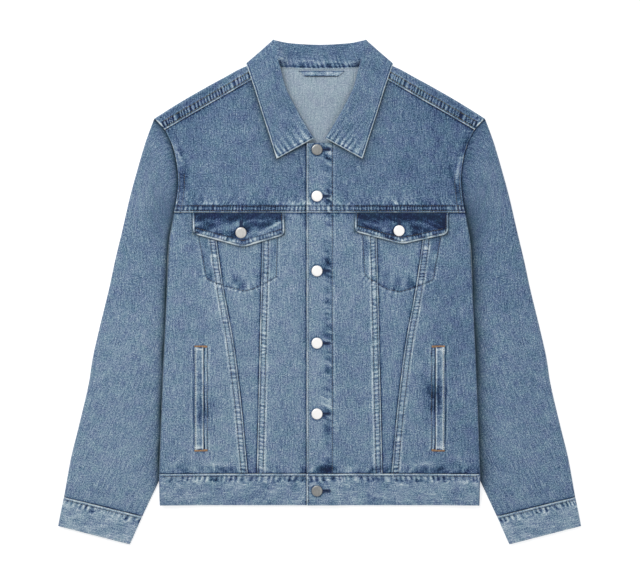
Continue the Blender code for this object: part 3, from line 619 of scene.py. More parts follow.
def seam_lines(side):
    """Each seam of one half: its line, with the upper piece on the left of it."""
    return {
        "yoke": ((-30.0, FRONT_YOKE_Y), (217.4, FRONT_YOKE_Y)),
        "inner": curved(INSERT_INNER, 12.0),
        "outer": flipped(curved(INSERT_OUTER, 12.0)),
        "shoulder": SHOULDER_SEAM,
        "armhole": curved(ARMHOLE),
        "waist": ((241.0, BAND_TOP_Y), (-30.0, BAND_TOP_Y)),
        "cuff": ((CUFF_ROWS[0][2], CUFF_ROWS[0][3]), (CUFF_ROWS[0][0], CUFF_ROWS[0][1])),
        "free": upright(LEFT_FREE_X, HIGH_Y, LOW_Y) if side > 0 else upright(-LEFT_FREE_X, LOW_Y, HIGH_Y),
    }


def pocket_line(side):
    """Outline of a chest pocket, with the pocket on its left."""
    return (POCKET_TOP[0],) + POCKETS[half_name(side)] + (POCKET_TOP[1],)


# Which seams each kind of front piece laps over and goes under
UPPER = {"yoke": ("yoke", "armhole"), "centre": ("inner",), "insert": (), "side": ("outer",)}
LOWER = {
    "yoke": ("shoulder",),
    "centre": ("yoke", "waist"),
    "insert": ("yoke", "inner", "outer", "waist"),
    "side": ("yoke", "waist"),
}


def fading(x, y):
    """Tone of the body's large worn and dark stretches, x across the whole jacket."""
    tone = 0.07 - 0.0003 * x - 0.1 * smooth((np.abs(x) - 150.0) / 40.0) - 0.05 * smooth((x - 120.0) / 50.0)
    tone -= (0.2 + 0.06 * smooth(-x / 40.0)) * smooth((y - 105.0) / 30.0)
    tone -= 0.04 * smooth((-170.0 - y) / 70.0) * smooth((x + 200.0) / 60.0)
    tone += 0.04 * noise(x, y, 64.0, 11) + 0.05 * noise(x, y, 27.0, 12) + 0.03 * noise(x, y, 11.0, 13)
    return tone


def sleeve_fading(x, y):
    """Tone of a sleeve's large worn and dark stretches, x across the whole jacket."""
    tone = -0.09 - 0.00022 * x + 0.12 * smooth((120.0 - y) / 240.0)
    return tone + 0.02 * noise(x, y, 52.0, 23) + 0.05 * noise(x, y, 23.0, 28)


def front(kind, side):
    """A function from (x, y) to (height, tone) on one kind of front piece."""
    lines = seam_lines(side)
    shift = seed_shift(side)
    at_edge = kind in ("yoke", "centre")

    def face(x, y):
        height, tone = front_base(x, y, side), fading(side * x, y)
        parts = [creases("yoke" if kind == "yoke" else "front", side, x, y)]
        for index, (name, seam) in enumerate(SEAMS.items()):
            if name in UPPER[kind] or (name == "free" and side > 0 and at_edge):
                distance, along = near(lines[name], x, y)
                along = np.interp(x, *zip(*YOKE_PACE)) if name == "yoke" else along
                parts.append(lapped(seam, np.maximum(distance, 0.0), along, 100 + index + shift))
            elif name in LOWER[kind] or (name == "free" and side < 0 and at_edge):
                distance, along = near(lines[name], x, y)
                parts.append(under_lap(seam, np.maximum(-distance, 0.0), along, 100 + index + shift))
        if at_edge and side > 0:
            parts.append(placket(x, y))
            parts.append(button_dents_and_shadow_rings([(BUTTON_X, button_y) for button_y in BUTTON_YS[:-1]], x, y))
        if kind == "yoke":
            parts.append((0.0, over_flaps(x, y - FRONT_YOKE_Y)))
        else:
            parts.append(pocket_face(x, y, side, shift))
        if kind == "side":
            parts.append(welt_frame(x, y, shift))
        for up, pale in parts:
            height, tone = height + up, tone + pale
        return height, tone

    return face


def over_flaps(x, up):
    """Tone of the darker denim of the yoke just above the flaps."""
    above = smooth((x - 44.0) / 14.0) * smooth((198.0 - x) / 14.0)
    patchy = 0.75 + 0.35 * noise(x, up, 15.0, 57)
    haze = 0.45 * smooth(up / 2.0) * (1.0 - smooth((up - 8.0) / 16.0))
    first, last = SEAMS["yoke"]["rows"]
    lines = 0.4 * bell(up - first, 1.2) + 0.7 * bell(up - last, 1.3)
    cells = 0.35 * ridges(x, 4.6, 58) * bell(up - (first + last) / 2, 3.4)
    return above * (cells - patchy * haze - lines)


def shadow_on_front(kind, side):
    """A function from (x, y) to the painted shadow, 0 to 1, that the collar or a flap casts on a front piece,
    and the painted shade along the body's side edge.
    """
    rim = flap_rim(half_name(side), FLAP_TOP_Y)

    def shadow(x, y):
        if kind == "yoke":
            beyond = np.abs(near(collar_outline(), x, y)[0])
            return 0.62 * np.exp(-beyond / 3.2) + 0.2 * np.exp(-beyond / 11.0)
        away = np.maximum(-near(rim, x, y)[0], 0.0)
        shade = 0.6 * np.exp(-away / 1.8) + 0.12 * np.exp(-away / 7.0)
        shade = shade * (1.0 - smooth((x - 200.0) / 8.0)) * smooth((x - 44.0) / 8.0)
        edge = np.maximum(side_x(y) - x, 0.0)
        return shade + (0.5 if side < 0 else 0.2) * bell(edge, 1.6)

    return shadow


def hole_shade(out, beside, places):
    """Tone round buttonholes, that run outwards from each place: partly painted shade, partly the dark of
    their navy thread.
    """
    along = smooth((out - 4.0) / 2.0) * (1.0 - smooth((out - 17.0) / 4.0))
    width = 3.1 - 0.07 * out
    return -1.5 * along * sum(bell(beside - place, width) for place in places)


def collar_outline():
    """Half the collar's outer edge in front, from the roll line's end round the leaf to the shoulder."""
    first = COLLAR_SECTIONS[0]
    return (first[:2],) + tuple(row[2:4] for row in COLLAR_SECTIONS[:6])


def placket(x, y):
    """(height, tone) of the stitched placket and the ripples beside its buttonholes."""
    distance, along = near(upright(PLACKET_X, LOW_Y, HIGH_Y), x, y)
    height, tone = embossed(distance, along, 31, 0.14)
    inside = smooth(distance / 2.0)
    ripple = noise(0.24 * x, y + 0.5 * x, 3.9, 33) * bell(x - 12.0, 7.5)
    near_hole = sum(bell(y - button_y, 24.0) for button_y in BUTTON_YS)
    height = height + 0.4 * ripple * (0.3 + near_hole)
    dashes = np.minimum(noise(0.3 * x, y + 0.3 * x, 4.0, 34), 0.0) * bell(x - 12.0, 5.0)
    tone = tone + 0.08 * inside + 0.95 * ripple * (0.3 + near_hole)
    tone = tone - 0.1 * bell(x - 11.0, 6.0) + 0.75 * dashes
    tone = tone + 0.14 * inside * smooth((y - 105.0) / 30.0)
    tone = tone + hole_shade(x - BUTTON_X, y, BUTTON_YS)
    return height, tone


def pocket_face(x, y, side, shift):
    """(height, tone) that the hidden chest pocket and its stitching give the front."""
    distance, along = near(pocket_line(side), x, y)
    fade = smooth((FRONT_YOKE_Y - 4.0 - y) / 8.0)
    bottom = smooth((34.0 - y) / 14.0)
    up, pale = embossed(distance, along, 41 + shift, 0.05 + 0.32 * bottom)
    inside = smooth(distance / 2.0) * (1.0 - smooth((distance - 14.0) / 14.0))
    cloud = noise(x, y, 9.0, 43 + shift)
    pale = pale + inside * (0.45 * cloud - 0.14) * (0.6 + 0.4 * bottom)
    up = up + 0.2 * inside * cloud
    return up * fade, pale * fade


def welt_frame(x, y, shift):
    """(height, tone) round a hand pocket's welt: its stitched inner edge, the slit darkened with painted
    shade, a painted shadow under each bar tack, and the cloth that darkens round the middle of the slit.
    """
    beside = smooth((y - WELT_BOTTOM_Y + 2.0) / 2.0) * smooth((WELT_TOP_Y + 2.0 - y) / 2.0)
    # The dark line along the slit is painted shade.
    tone = -1.3 * bell(x - WELT_INNER_X + 0.9, 1.5) * beside
    tone += 0.85 * bell(x - WELT_FRAME_X - 2.8, 1.3) * beside - 0.7 * bell(x - WELT_FRAME_X, 0.9) * beside
    tone += 0.4 * bell(x - WELT_FRAME_X + 2.2, 1.3) * beside
    tone -= 0.8 * bell(x - WELT_OUTER_X - 0.9, 1.2) * beside
    tone += 0.4 * bell(x - WELT_OUTER_X - 3.2, 1.4) * beside
    # Painted shadow under each bar tack.
    for end in (WELT_TOP_Y, WELT_BOTTOM_Y):
        away = np.hypot((x - 178.0) * 0.5, y - end)
        tone -= 0.5 * bell(away, 3.4)
        tone += 0.5 * wisps(x, np.abs(y - end), 0.6, 75) * bell(y - end, 12.0) * bell(x - 178.0, 14.0)
    # Darker round the middle of the slit.
    middle = bell(y + 156.0 + shift * 0.4, 24.0)
    deep = 1.4 - 0.012 * shift
    tone -= deep * middle * bell(x - WELT_INNER_X + 5.0, 12.0) * (0.6 + 0.4 * noise(x, y, 7.0, 77 + shift))
    height = -0.5 * bell(x - WELT_INNER_X + 0.8, 1.3) * beside
    height += 0.35 * bell(x - WELT_FRAME_X - 2.6, 1.6) * beside
    return height, tone


# Meshes


def piece(name, points, tone, grain, finishes, shadow=0.0, wrap=False, keep=None, towards="up"):
    """A sheet of cloth from a grid of points (u, v, 3), each with its tone, shadow and place on it."""
    wide, long = points.shape[:2]
    columns = np.arange(wide if wrap else wide - 1)
    column, row = np.meshgrid(columns, np.arange(long - 1), indexing="ij")
    if keep is not None:
        shown = keep(column, row)
        column, row = column[shown], row[shown]
    corners = [(column, row), ((column + 1) % wide, row), ((column + 1) % wide, row + 1), (column, row + 1)]
    faces = np.stack([(i * long + j).ravel() for i, j in corners], axis=-1)
    spots = points.reshape(-1, 3)
    used = np.unique(faces)
    faces = np.searchsorted(used, faces)
    spots = spots[used]
    normal = np.cross(spots[faces[:, 2]] - spots[faces[:, 0]], spots[faces[:, 3]] - spots[faces[:, 1]])
    if towards == "around":
        middle = spots[faces].mean(axis=1)
        outward = ((middle - middle.mean(axis=0)) * normal).sum()
    else:
        outward = normal[:, 2].sum() * (1 if towards == "up" else -1)
    if outward < 0:
        faces = faces[:, ::-1]
    mesh = bpy.data.meshes.new(name)
    mesh.from_pydata((spots * MM).tolist(), [], faces.tolist())
    shadow = np.broadcast_to(shadow, tone.shape)
    for layer, values in (("tone", tone), ("shadow", shadow)):
        mesh.attributes.new(layer, "FLOAT", "POINT").data.foreach_set("value", values.reshape(-1)[used])
    place = np.zeros((len(used), 3))
    place[:, :2] = grain.reshape(-1, 2)[used] * MM
    mesh.attributes.new("grain", "FLOAT_VECTOR", "POINT").data.foreach_set("vector", place.ravel())
    return shown_object(name, mesh, finishes)


def shown_object(name, mesh, finishes):
    for finish in finishes:
        mesh.materials.append(bpy.data.materials[finish])
    mesh.shade_smooth()
    made = bpy.data.objects.new(name, mesh)
    bpy.context.scene.collection.objects.link(made)
    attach(made, "root")
    return made


def wall(made, thickness):
    """Gives a sheet its thickness, with the cloth's pale side inside."""
    solid = made.modifiers.new("wall", "SOLIDIFY")
    solid.thickness = thickness * MM
    solid.offset = -1.0
    solid.material_offset = 1 if len(made.data.materials) > 1 else 0


def declare(node):
    """Hides the CAD node that a sheet stands for.

    Its area is that of the grid of points, and more square metres beyond that grid.
    """
    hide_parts(node)


def raise_plan(plan, face):
    """Points (u, v, 3) and their tones, from a plan and a function to (height, tone)."""
    height, tone = face(plan[..., 0], plan[..., 1])
    return raised(plan, height), tone


def front_piece(kind, side, plan):
    name = f"front_{kind}_{half_name(side)}"
    points, tone = raise_plan(plan, front(kind, side))
    shadow = shadow_on_front(kind, side)(plan[..., 0], plan[..., 1])
    made = piece(f"{name}_cloth", mirrored(points, side), tone, mirrored(plan, side), WASHED, shadow)
    wall(made, CLOTH)
    declare(name)


def make_fronts(side):
    free = LEFT_FREE_X if side > 0 else -RIGHT_FREE_X
    armhole = curved(ARMHOLE[:-1])
    neck = tuple((row[4] + 0.4, row[5] - 0.2) for row in COLLAR_SECTIONS[:5])
    top = ((free, FRONT_TOP_Y), (neck[0][0], FRONT_TOP_Y)) + neck[1:] + SHOULDER_SEAM[1:]
    bottom = ((free, FRONT_YOKE_Y), armhole[0])
    us, vs = stops(length_of(top), YOKE_STEP), stops(length_of(armhole), FINE)
    plan = patch(bottom, top, (bottom[0], top[0]), armhole, us, vs)
    front_piece("yoke", side, plan)
    low, high = BAND_TOP_Y, FRONT_YOKE_Y - 0.2
    long = stops(high - low, LENGTH_STEP)

    def between(left, right, spacing, first=True, last=True):
        left, right = fit_ends(left, low, high), fit_ends(right, low, high)
        wide = max(right[0][0] - left[0][0], right[-1][0] - left[-1][0])
        return patch(
            (left[0], right[0]), (left[-1], right[-1]), left, right, stops(wide, spacing, first, last), long
        )

    straight = ((free, low), (free, high))
    inner, outer = curved(INSERT_INNER, 12.0), curved(INSERT_OUTER, 12.0)
    front_piece("centre", side, between(straight, moved(inner, -0.1), MIDDLING))
    insert = between(moved(inner, 0.1), moved(outer, -0.1), MIDDLING)
    front_piece("insert", side, insert)
    edge = curved(SIDE_EDGE[1:], 12.0)
    front_piece("side", side, between(moved(outer, 0.1), edge, MIDDLING))


def fit_ends(line, low, high):
    """The line with its first and last points moved to these heights."""
    return ((line[0][0], low),) + tuple(line[1:-1]) + ((line[-1][0], high),)


def make_back():
    side = fit_ends(curved(SIDE_EDGE[1:], 12.0), BAND_TOP_Y, SIDE_EDGE[-1][1])
    side += tuple(p for p in curved(ARMHOLE)[1:] if p[1] < BACK_YOKE_Y - 2.0)
    side += ((YOKE_FOOT_X, BACK_YOKE_Y - 0.3),)
    vs = stops(length_of(side), COARSE)
    us = stops(2 * BAND_HALF, COARSE)
    opposite = tuple((-x, y) for x, y in side)
    plan = patch((opposite[0], side[0]), (opposite[-1], side[-1]), opposite, side, us, vs)
    x, y = plan[..., 0], plan[..., 1]
    height = back_height(x, y) + edge_turn(x, y)
    points = raised(plan, height)
    tone = fading(x, y)
    shadow = 0.7 * bell(side_x(y) - np.abs(x), 4.0)
    made = piece("back_panel_cloth", points, tone, plan, WASHED, shadow, towards="down")
    wall(made, CLOTH)
    declare("back_panel")


# The back yoke's rows: shares up its back, turns over its fold, and shares down its strips
BACK_ROWS = np.linspace(0.0, 1.0, 16)
FOLD_TURNS = np.radians(np.linspace(0.0, 180.0, 9))[1:]
STRIP_ROWS = stops(STRIP_WIDTH, STRIP_STEP, first=False)[1:]


def inside_armhole(x, y, room):
    """x kept at least room inside the armhole."""
    return np.minimum(x, np.interp(y, [p[1] for p in ARMHOLE], [p[0] for p in ARMHOLE]) - room)


def yoke_column(top, foot, end, room, on_shoulder):
    """Points and tones up the back, over the fold and down the strip in front, to the seam's end."""
    radius = BODY_HEIGHT / 2
    start = top + YOKE_INWARDS * radius
    low = np.array([foot, BACK_YOKE_Y])
    back = low + ((start if on_shoulder else top) - low) * BACK_ROWS[:, None]
    fold = top + YOKE_INWARDS * radius * (1.0 - np.sin(FOLD_TURNS))[:, None]
    strip = start + (end - start) * STRIP_ROWS[:, None]
    for spots in (back, fold, strip) if on_shoulder else (fold, strip):
        spots[:, 0] = inside_armhole(spots[:, 0], spots[:, 1], room)
    over = back_height(fold[:, 0], fold[:, 1]) + radius * (1.0 - np.cos(FOLD_TURNS))
    up, pale = strip_face(strip[:, 0], strip[:, 1])
    heights = (back_height(back[:, 0], back[:, 1]), over, up)
    points = [np.column_stack([spots, height]) for spots, height in zip((back, fold, strip), heights)]
    worn = np.full(len(fold), -0.08) + 0.12 * noise(fold[:, 0], fold[:, 1], 9.0, 61)
    return np.concatenate(points), np.concatenate([fading(back[:, 0], back[:, 1]), worn, pale])


def make_back_yoke():
    """The yoke, whose shoulders fold forward over the top to the front seams."""
    neck = curved([(row[4], row[5] - 0.4) for row in COLLAR_SECTIONS[10:6:-1]], 6.0)
    fold = curved(SHOULDER_FOLD, FINE)
    seam = walk(SHOULDER_SEAM, shares_of(fold))
    tops = np.array(tuple(neck) + tuple(fold))
    feet = np.linspace(0.0, YOKE_FOOT_X, len(tops))
    columns = []
    for index, (top, foot) in enumerate(zip(tops, feet)):
        room = COLUMN_ROOM * (len(tops) - 1 - index)
        end = seam[max(index - len(neck), 0)]
        columns.append(yoke_column(top, foot, end, room, index >= len(neck)))
    half, shade = (np.array(grid) for grid in zip(*columns))
    whole = np.concatenate([mirrored(half[:0:-1], -1), half])
    tone = np.concatenate([shade[:0:-1], shade])
    rows = len(BACK_ROWS)
    first, last = len(fold) - 1, len(whole) - len(fold)

    def keep(column, row):
        """The back all the way across, and the fold and the strips on the shoulders alone."""
        return (row < rows - 1) | (column < first) | (column >= last)

    made = piece("back_yoke_cloth", whole, tone, whole[..., :2], WASHED, towards="down", keep=keep)
    wall(made, CLOTH)
    declare("back_yoke")


def strip_face(x, y):
    """(height, tone) of the back yoke's strips in front of the shoulders."""
    height = back_height(x, y) + BODY_HEIGHT
    tone = fading(x, y)
    lines = seam_lines(1)
    for index, name in enumerate(("shoulder", "armhole")):
        distance, along = near(lines[name], x, y)
        up, pale = lapped(SEAMS[name], np.maximum(distance, 0.0), along, 140 + index)
        height, tone = height + up, tone + pale
    lumps = ridges(distance, 5.5, 149) * bell(distance - 8.0, 9.0)
    return height + 0.3 * lumps, tone + 1.1 * bell(distance - 0.6, 1.3) + 0.45 * lumps


def sleeve_paths(steps):
    """Lines across a sleeve from its inner to its outer edge, at these shares of the way down it."""
    rows = len(SLEEVE_ROWS)
    at = np.linspace(0.0, rows - 1.0, rows)
    centre = np.array([((a + c) / 2, (b + d) / 2) for a, b, c, d in SLEEVE_ROWS])
    place = np.interp(steps, shares_of(centre), at)
    ends = [spline(place, at, column) for column in zip(*SLEEVE_ROWS)]
    across = np.linspace(0.0, 1.0, 41)
    mouth = walk(moved(curved(ARMHOLE), 0.3, -0.15), across)
    bends = np.array(UNDERARM_BENDS)
    paths = []
    for index, where in enumerate(place):
        start = np.array([ends[0][index], ends[1][index]])
        end = np.array([ends[2][index], ends[3][index]])
        if where < 1.0:
            bent = walk((start, walk(bends, 0.0), end), across)
            path = mouth + (bent - mouth) * where
        elif where < 4.0:
            bend = walk(bends, (where - 1.0) / 3.0)
            path = walk((start, bend, end), across)
        else:
            path = start + (end - start) * across[:, None]
        paths.append(path)
    return paths


def flat_tube(paths, height, spacing, round_over, face):
    """Points (ring, row, 3), their tones and places on the cloth, of a flattened tube with a fine top."""
    longest = max(length_of(path) for path in paths)
    top = np.linspace(1.0, 0.0, int(longest / spacing) + 1)
    turn = (1.0 - np.cos(np.linspace(0.0, math.pi / 2, 9)))[::-1] * round_over / longest
    top = np.concatenate([1.0 - turn[::-1], top[(top < 1.0 - turn.max()) & (top > turn.max())], turn])
    bottom = np.linspace(0.0, 1.0, 14)[1:-1]
    rings, tones, places = [], [], []
    down = 0.0
    for index, path in enumerate(paths):
        length = length_of(path)
        if index:
            down += np.hypot(*(walk(path, 0.6) - walk(paths[index - 1], 0.6)))
        spots = walk(path, top)
        from_edge = np.minimum(top, 1.0 - top) * longest / round_over
        swell = np.sqrt(np.maximum(1.0 - (1.0 - np.clip(from_edge, 0.0, 1.0)) ** 2, 0.0))
        up, tone = face(spots[:, 0], spots[:, 1])
        over = np.column_stack([spots, height / 2 + (up - height / 2) * swell])
        beneath = walk(path, bottom)
        lower = np.column_stack([beneath, np.zeros(len(bottom))])
        rings.append(np.concatenate([over, lower]))
        tones.append(np.concatenate([tone, np.zeros(len(bottom))]))
        across = np.concatenate([top, -bottom]) * length
        places.append(np.column_stack([across, np.full(len(across), -down)]))
    return np.stack(rings, axis=1), np.stack(tones, axis=1), np.stack(places, axis=1)


def sleeve_face(side):
    lines = seam_lines(side)
    shift = seed_shift(side)

    def face(x, y):
        armhole, along = near(lines["armhole"], x, y)
        beyond = np.where(y < FRONT_YOKE_Y, x - side_x(y), -armhole)
        puff = SLEEVE_PUFF * smooth((beyond - 3.0) / 45.0)
        height = SLEEVE_HEIGHT + puff * smooth((y + 335.0) / 50.0)
        seen = smooth(beyond / 12.0)
        height += seen * (0.6 * noise(side * x, y, 46.0, 21) + 0.3 * noise(side * x, y, 19.0, 22))
        tone = sleeve_fading(side * x, y)
        # Painted shade on the sleeve beside the body's raised edge.
        tone -= 0.2 * np.exp(-np.maximum(beyond, 0.0) / 12.0) * smooth((y + 335.0) / 60.0)
        up, pale = under_lap(SEAMS["armhole"], np.maximum(-armhole, 0.0), along, 104 + shift)
        near_body = smooth((y - FRONT_YOKE_Y + 6.0) / 8.0)
        height, tone = height + up * near_body, tone + pale * near_body
        cuff, along = near(lines["cuff"], x, y)
        up, pale = under_lap(SEAMS["cuff"], np.maximum(-cuff, 0.0), along, 106 + shift)
        height, tone = height + up, tone + pale
        up, pale = creases("sleeve", side, x, y)
        return height + up, tone + pale

    return face


def shadow_on_sleeve(x, y, side):
    """The shadow, 0 to 1, of the body on a sleeve: deep and narrow on the right, soft on the left."""
    armhole = near(seam_lines(side)["armhole"], x, y)[0]
    out = np.maximum(np.where(y < FRONT_YOKE_Y, x - side_x(y), -armhole), 0.0)
    uneven = 0.85 + 0.2 * noise(y, out, 30.0, 65 + side)
    if side > 0:
        shadow = 0.5 * bell(out - 2.0, 5.0) + 0.34 * bell(out - 6.0, 11.0)
    else:
        shadow = 0.8 * bell(out, 5.5) + 0.3 * np.exp(-out / 9.0)
    low = smooth((y + 330.0) / 60.0)
    return shadow * uneven * low * (1.0 - (0.78 if side > 0 else 0.3) * smooth((y - 90.0) / 70.0))


def make_tube(node, side, tube, thickness, shadow=0.0, turned=False):
    """Shows a flattened tube, from flat_tube's points, tones and places on the cloth, and hides its CAD node.
    """
    points, tone, place = tube
    place = place[..., ::-1] if turned else place
    shown = mirrored(points, side)
    made = piece(f"{node}_cloth", shown, tone, place, WASHED, shadow, wrap=True, towards="around")
    wall(made, thickness)
    declare(node)


def make_sleeve(side):
    paths = sleeve_paths(stops(SLEEVE_LENGTH, SLEEVE_STEP))
    tube = flat_tube(paths, SLEEVE_HEIGHT, SLEEVE_STEP, SLEEVE_ROUND, sleeve_face(side))
    shadow = shadow_on_sleeve(tube[0][..., 0], tube[0][..., 1], side)
    make_tube(f"sleeve_{half_name(side)}", side, tube, CLOTH, shadow)


def make_cuff(side):
    steps = stops(CUFF_LENGTH, CUFF_STEP)
    inner = walk(curved([row[:2] for row in CUFF_ROWS]), steps)
    outer = walk(curved([row[2:] for row in CUFF_ROWS]), steps)
    paths = [np.array([a, b]) for a, b in zip(inner, outer)]
    tube = flat_tube(paths, CUFF_HEIGHT, CUFF_STEP, CUFF_ROUND, cuff_face(side))
    make_tube(f"cuff_{half_name(side)}", side, tube, DOUBLED, turned=True)


def cuff_face(side):
    lines = seam_lines(side)
    shift = seed_shift(side)
    end = flipped(((CUFF_ROWS[-1][0], CUFF_ROWS[-1][1]), (CUFF_ROWS[-1][2], CUFF_ROWS[-1][3])))

    def face(x, y):
        distance, along = near(lines["cuff"], x, y)
        up, tone = banded(SEAMS["cuff"], np.maximum(distance, 0.0), along, 106 + shift)
        height = CUFF_HEIGHT + up
        rim = np.abs(near(end, x, y)[0])
        height -= 0.9 * rounding(rim, 1.5)
        tone = tone + (0.2 if side > 0 else 0.27) + 0.2 * bell(rim, 1.3)
        tone = tone + 0.08 * noise(side * x, y, 17.0, 24) + 0.08 * noise(side * x, y, 8.0, 25)
        return height, tone

    return face


def band_face(side):
    """(height above the strip's own level, tone) on the front of the waistband."""
    lines = seam_lines(side)
    shift = seed_shift(side)

    def face(x, y):
        distance, along = near(lines["waist"], x, y)
        up, tone = banded(SEAMS["waist"], np.maximum(distance, 0.0), along, 105 + shift)
        rim = y - HEM_Y
        up = up - 0.9 * rounding(rim, 1.5)
        tone = tone + 0.09 + 0.25 * bell(rim, 1.2) - 0.12 * bell(rim - 3.4, 1.2)
        tone = tone + 0.08 * noise(side * x, y, 19.0, 26) + 0.07 * noise(side * x, y, 8.0, 27)
        if side > 0:
            edge = x - LEFT_FREE_X
            up -= 0.5 * rounding(edge, 1.0)
            # A pale worn edge, and painted shade in the groove of the stitch row 2.8 mm in.
            tone = tone + 0.9 * bell(edge - 0.4, 1.1) - 0.4 * bell(edge - 2.8, 0.9)
            hollow, ring = button_dents_and_shadow_rings([(BUTTON_X, BUTTON_YS[-1])], x, y)
            up, tone = up + hollow, tone + ring
        else:
            # Painted shadow of the left band's edge, which lies over this end.
            tone = tone - 1.0 * bell(x + LEFT_FREE_X, 1.5)
        return up, tone

    return face


def make_waistband():
    """One strip round the hem, from the button end under the overlap to the buttonhole end on top of it."""
    radius = BAND_HEIGHT / 2
    ys = HEM_Y + (BAND_TOP_Y - HEM_Y) * stops(BAND_TOP_Y - HEM_Y, LENGTH_STEP)
    turns = np.linspace(0.0, math.pi, 11)[1:-1]
    reach = BAND_HALF - radius
    right = np.linspace(RIGHT_FREE_X, -reach, int((reach + RIGHT_FREE_X) / FINE) + 1)
    under = np.linspace(-reach, reach, 40)
    left = reach - (reach - LEFT_FREE_X) * stops(reach - LEFT_FREE_X, FINE, first=False)
    out = radius * np.sin(turns)
    xs = np.concatenate([right, -reach - out, under, reach + out, left])
    fall, climb = (1.0 + np.cos(turns)) / 2, (1.0 - np.cos(turns)) / 2
    level = np.concatenate([np.ones(len(right)), fall, np.zeros(len(under)), climb, np.ones(len(left))])
    along = run_along(np.hypot(np.diff(xs), np.diff(level) * BAND_HEIGHT))
    x, y = np.meshgrid(xs, ys, indexing="ij")
    x = x * (side_x(y) / BAND_HALF)
    height = back_height(x, y) + level[:, None] * BAND_HEIGHT
    tone = np.zeros(x.shape)
    for side, part in ((-1, slice(0, len(right))), (1, slice(len(xs) - len(left), len(xs)))):
        up, pale = band_face(side)(side * x[part], y[part])
        height[part] += up
        tone[part] = pale
    height[-len(left) :] += BAND_OVERLAP_LIFT * overlap(x[-len(left) :])
    points = np.stack([x, y, height], axis=-1)
    place = np.stack([y, np.broadcast_to(along[:, None], y.shape)], axis=-1)
    made = piece("waistband_cloth", points, tone, place, WASHED, towards="around")
    wall(made, DOUBLED)
    declare("waistband")


def collar_lines(steps):
    """The sections' columns as smooth curves, at places from 0, a leaf's end, to 10, mid back."""
    at = np.arange(len(COLLAR_SECTIONS), dtype=float)
    return [spline(steps, at, column) for column in zip(*COLLAR_SECTIONS)]


def collar_steps(spacing):
    """Places along the half collar, evenly spaced on its outer edge, closer at the leaf's end."""
    at = np.arange(len(COLLAR_SECTIONS), dtype=float)
    edge = np.array([row[2:4] for row in COLLAR_SECTIONS])
    shares = stops(length_of(edge), spacing, last=False)
    return np.interp(shares, shares_of(edge), at)


def collar_rise(x, y, share_from_roll, top):
    rise = back_height(x, y) + BODY_HEIGHT + top + OVERLAP_LIFT * overlap(x)
    return rise + COLLAR_ROLL * (1.0 - share_from_roll) ** 2


def across_centre(halves):
    """The grids of the left and the right half as one, which share the column at the middle of the back."""
    return np.concatenate([halves[0], halves[1][-2::-1]])


def leaf_face(roll, edge, across, steps, side):
    """(height over the collar's own form, tone) of one half of the fall, from the distances on its cloth."""
    plan = roll[:, None] + (edge - roll)[:, None] * across[None, :, None]
    x, y = plan[..., 0], plan[..., 1]
    width = np.hypot(*(edge - roll).T)[:, None]
    from_roll, from_edge = across[None, :] * width, (1.0 - across)[None, :] * width
    from_end, along_end = near((tuple(edge[0]), tuple(roll[0])), x, y)
    from_end = np.abs(from_end) + 60.0 * smooth(steps - 3.0)[:, None]
    along_edge = run_along(np.hypot(*np.diff(edge, axis=0).T))[:, None]
    rim = np.minimum(from_edge, from_end)
    crisp = 1.0 - smooth((steps - 3.1) / 1.0)[:, None]
    up = -2.0 * rounding(from_roll, 3.2) * crisp
    up -= 1.1 * rounding(rim, 1.8)
    up -= GROOVE * bell(rim - 2.7, 0.8)
    rays = ridges(along_end + 0.15 * from_end, 9.0, 85 + side)
    fan = np.exp(-from_end / 15.0) * smooth(from_end / 3.0)
    small = ridges(along_edge + from_edge, 7.0, 88 + side) * np.exp(-from_edge / 4.0)
    soft = noise(side * x, y, 30.0, 83)
    up += 0.7 * rays * fan + 0.1 * small + 0.35 * soft
    tone = -0.12 + 0.0001 * side * x + 0.06 * soft + 0.09 * noise(side * x, y, 13.0, 84)
    tone = tone + 1.05 * bell(rim - 0.5, 1.1) - 0.8 * bell(rim - 2.7, 0.9) + 0.32 * bell(rim - 4.3, 1.0)
    tone = tone + 1.5 * rays * fan + 0.3 * fan + 0.16 * small
    tone = tone + 0.1 * bell(from_roll, 3.0) * crisp
    return plan, up, tone


def make_collar():
    steps = collar_steps(FINE)
    roll_x, roll_y, edge_x, edge_y, neck_x, neck_y, turn = collar_lines(steps)
    turn = np.clip(turn, 0.0, 1.0)
    facing = 0.5 + 0.5 * np.cos(math.pi * turn)
    across = stops(FALL_STOPS, FINE)
    roll, edge = np.stack([roll_x, roll_y], -1), np.stack([edge_x, edge_y], -1)
    halves, tones = [], []
    for side in (1, -1):
        plan, up, tone = leaf_face(roll, edge, across, steps, side)
        rise = collar_rise(plan[..., 0], plan[..., 1], across[None, :], COLLAR_TOP) + up
        height = rise * facing[:, None]
        halves.append(raised(mirrored(plan, side), height))
        tones.append(tone)
    points, tone = across_centre(halves), across_centre(tones)
    length = run_along(np.linalg.norm(np.diff(points[:, -1], axis=0), axis=-1))
    place = np.stack(np.broadcast_arrays(across[None, :] * FALL_WIDTH, length[:, None]), axis=-1)
    made = piece("collar_fall_cloth", points, tone, place, WASHED_BOTH, towards="around")
    wall(made, COLLAR_CLOTH)
    declare("collar_fall")
    make_stand(steps, roll, np.stack([neck_x, neck_y], -1), turn, facing)


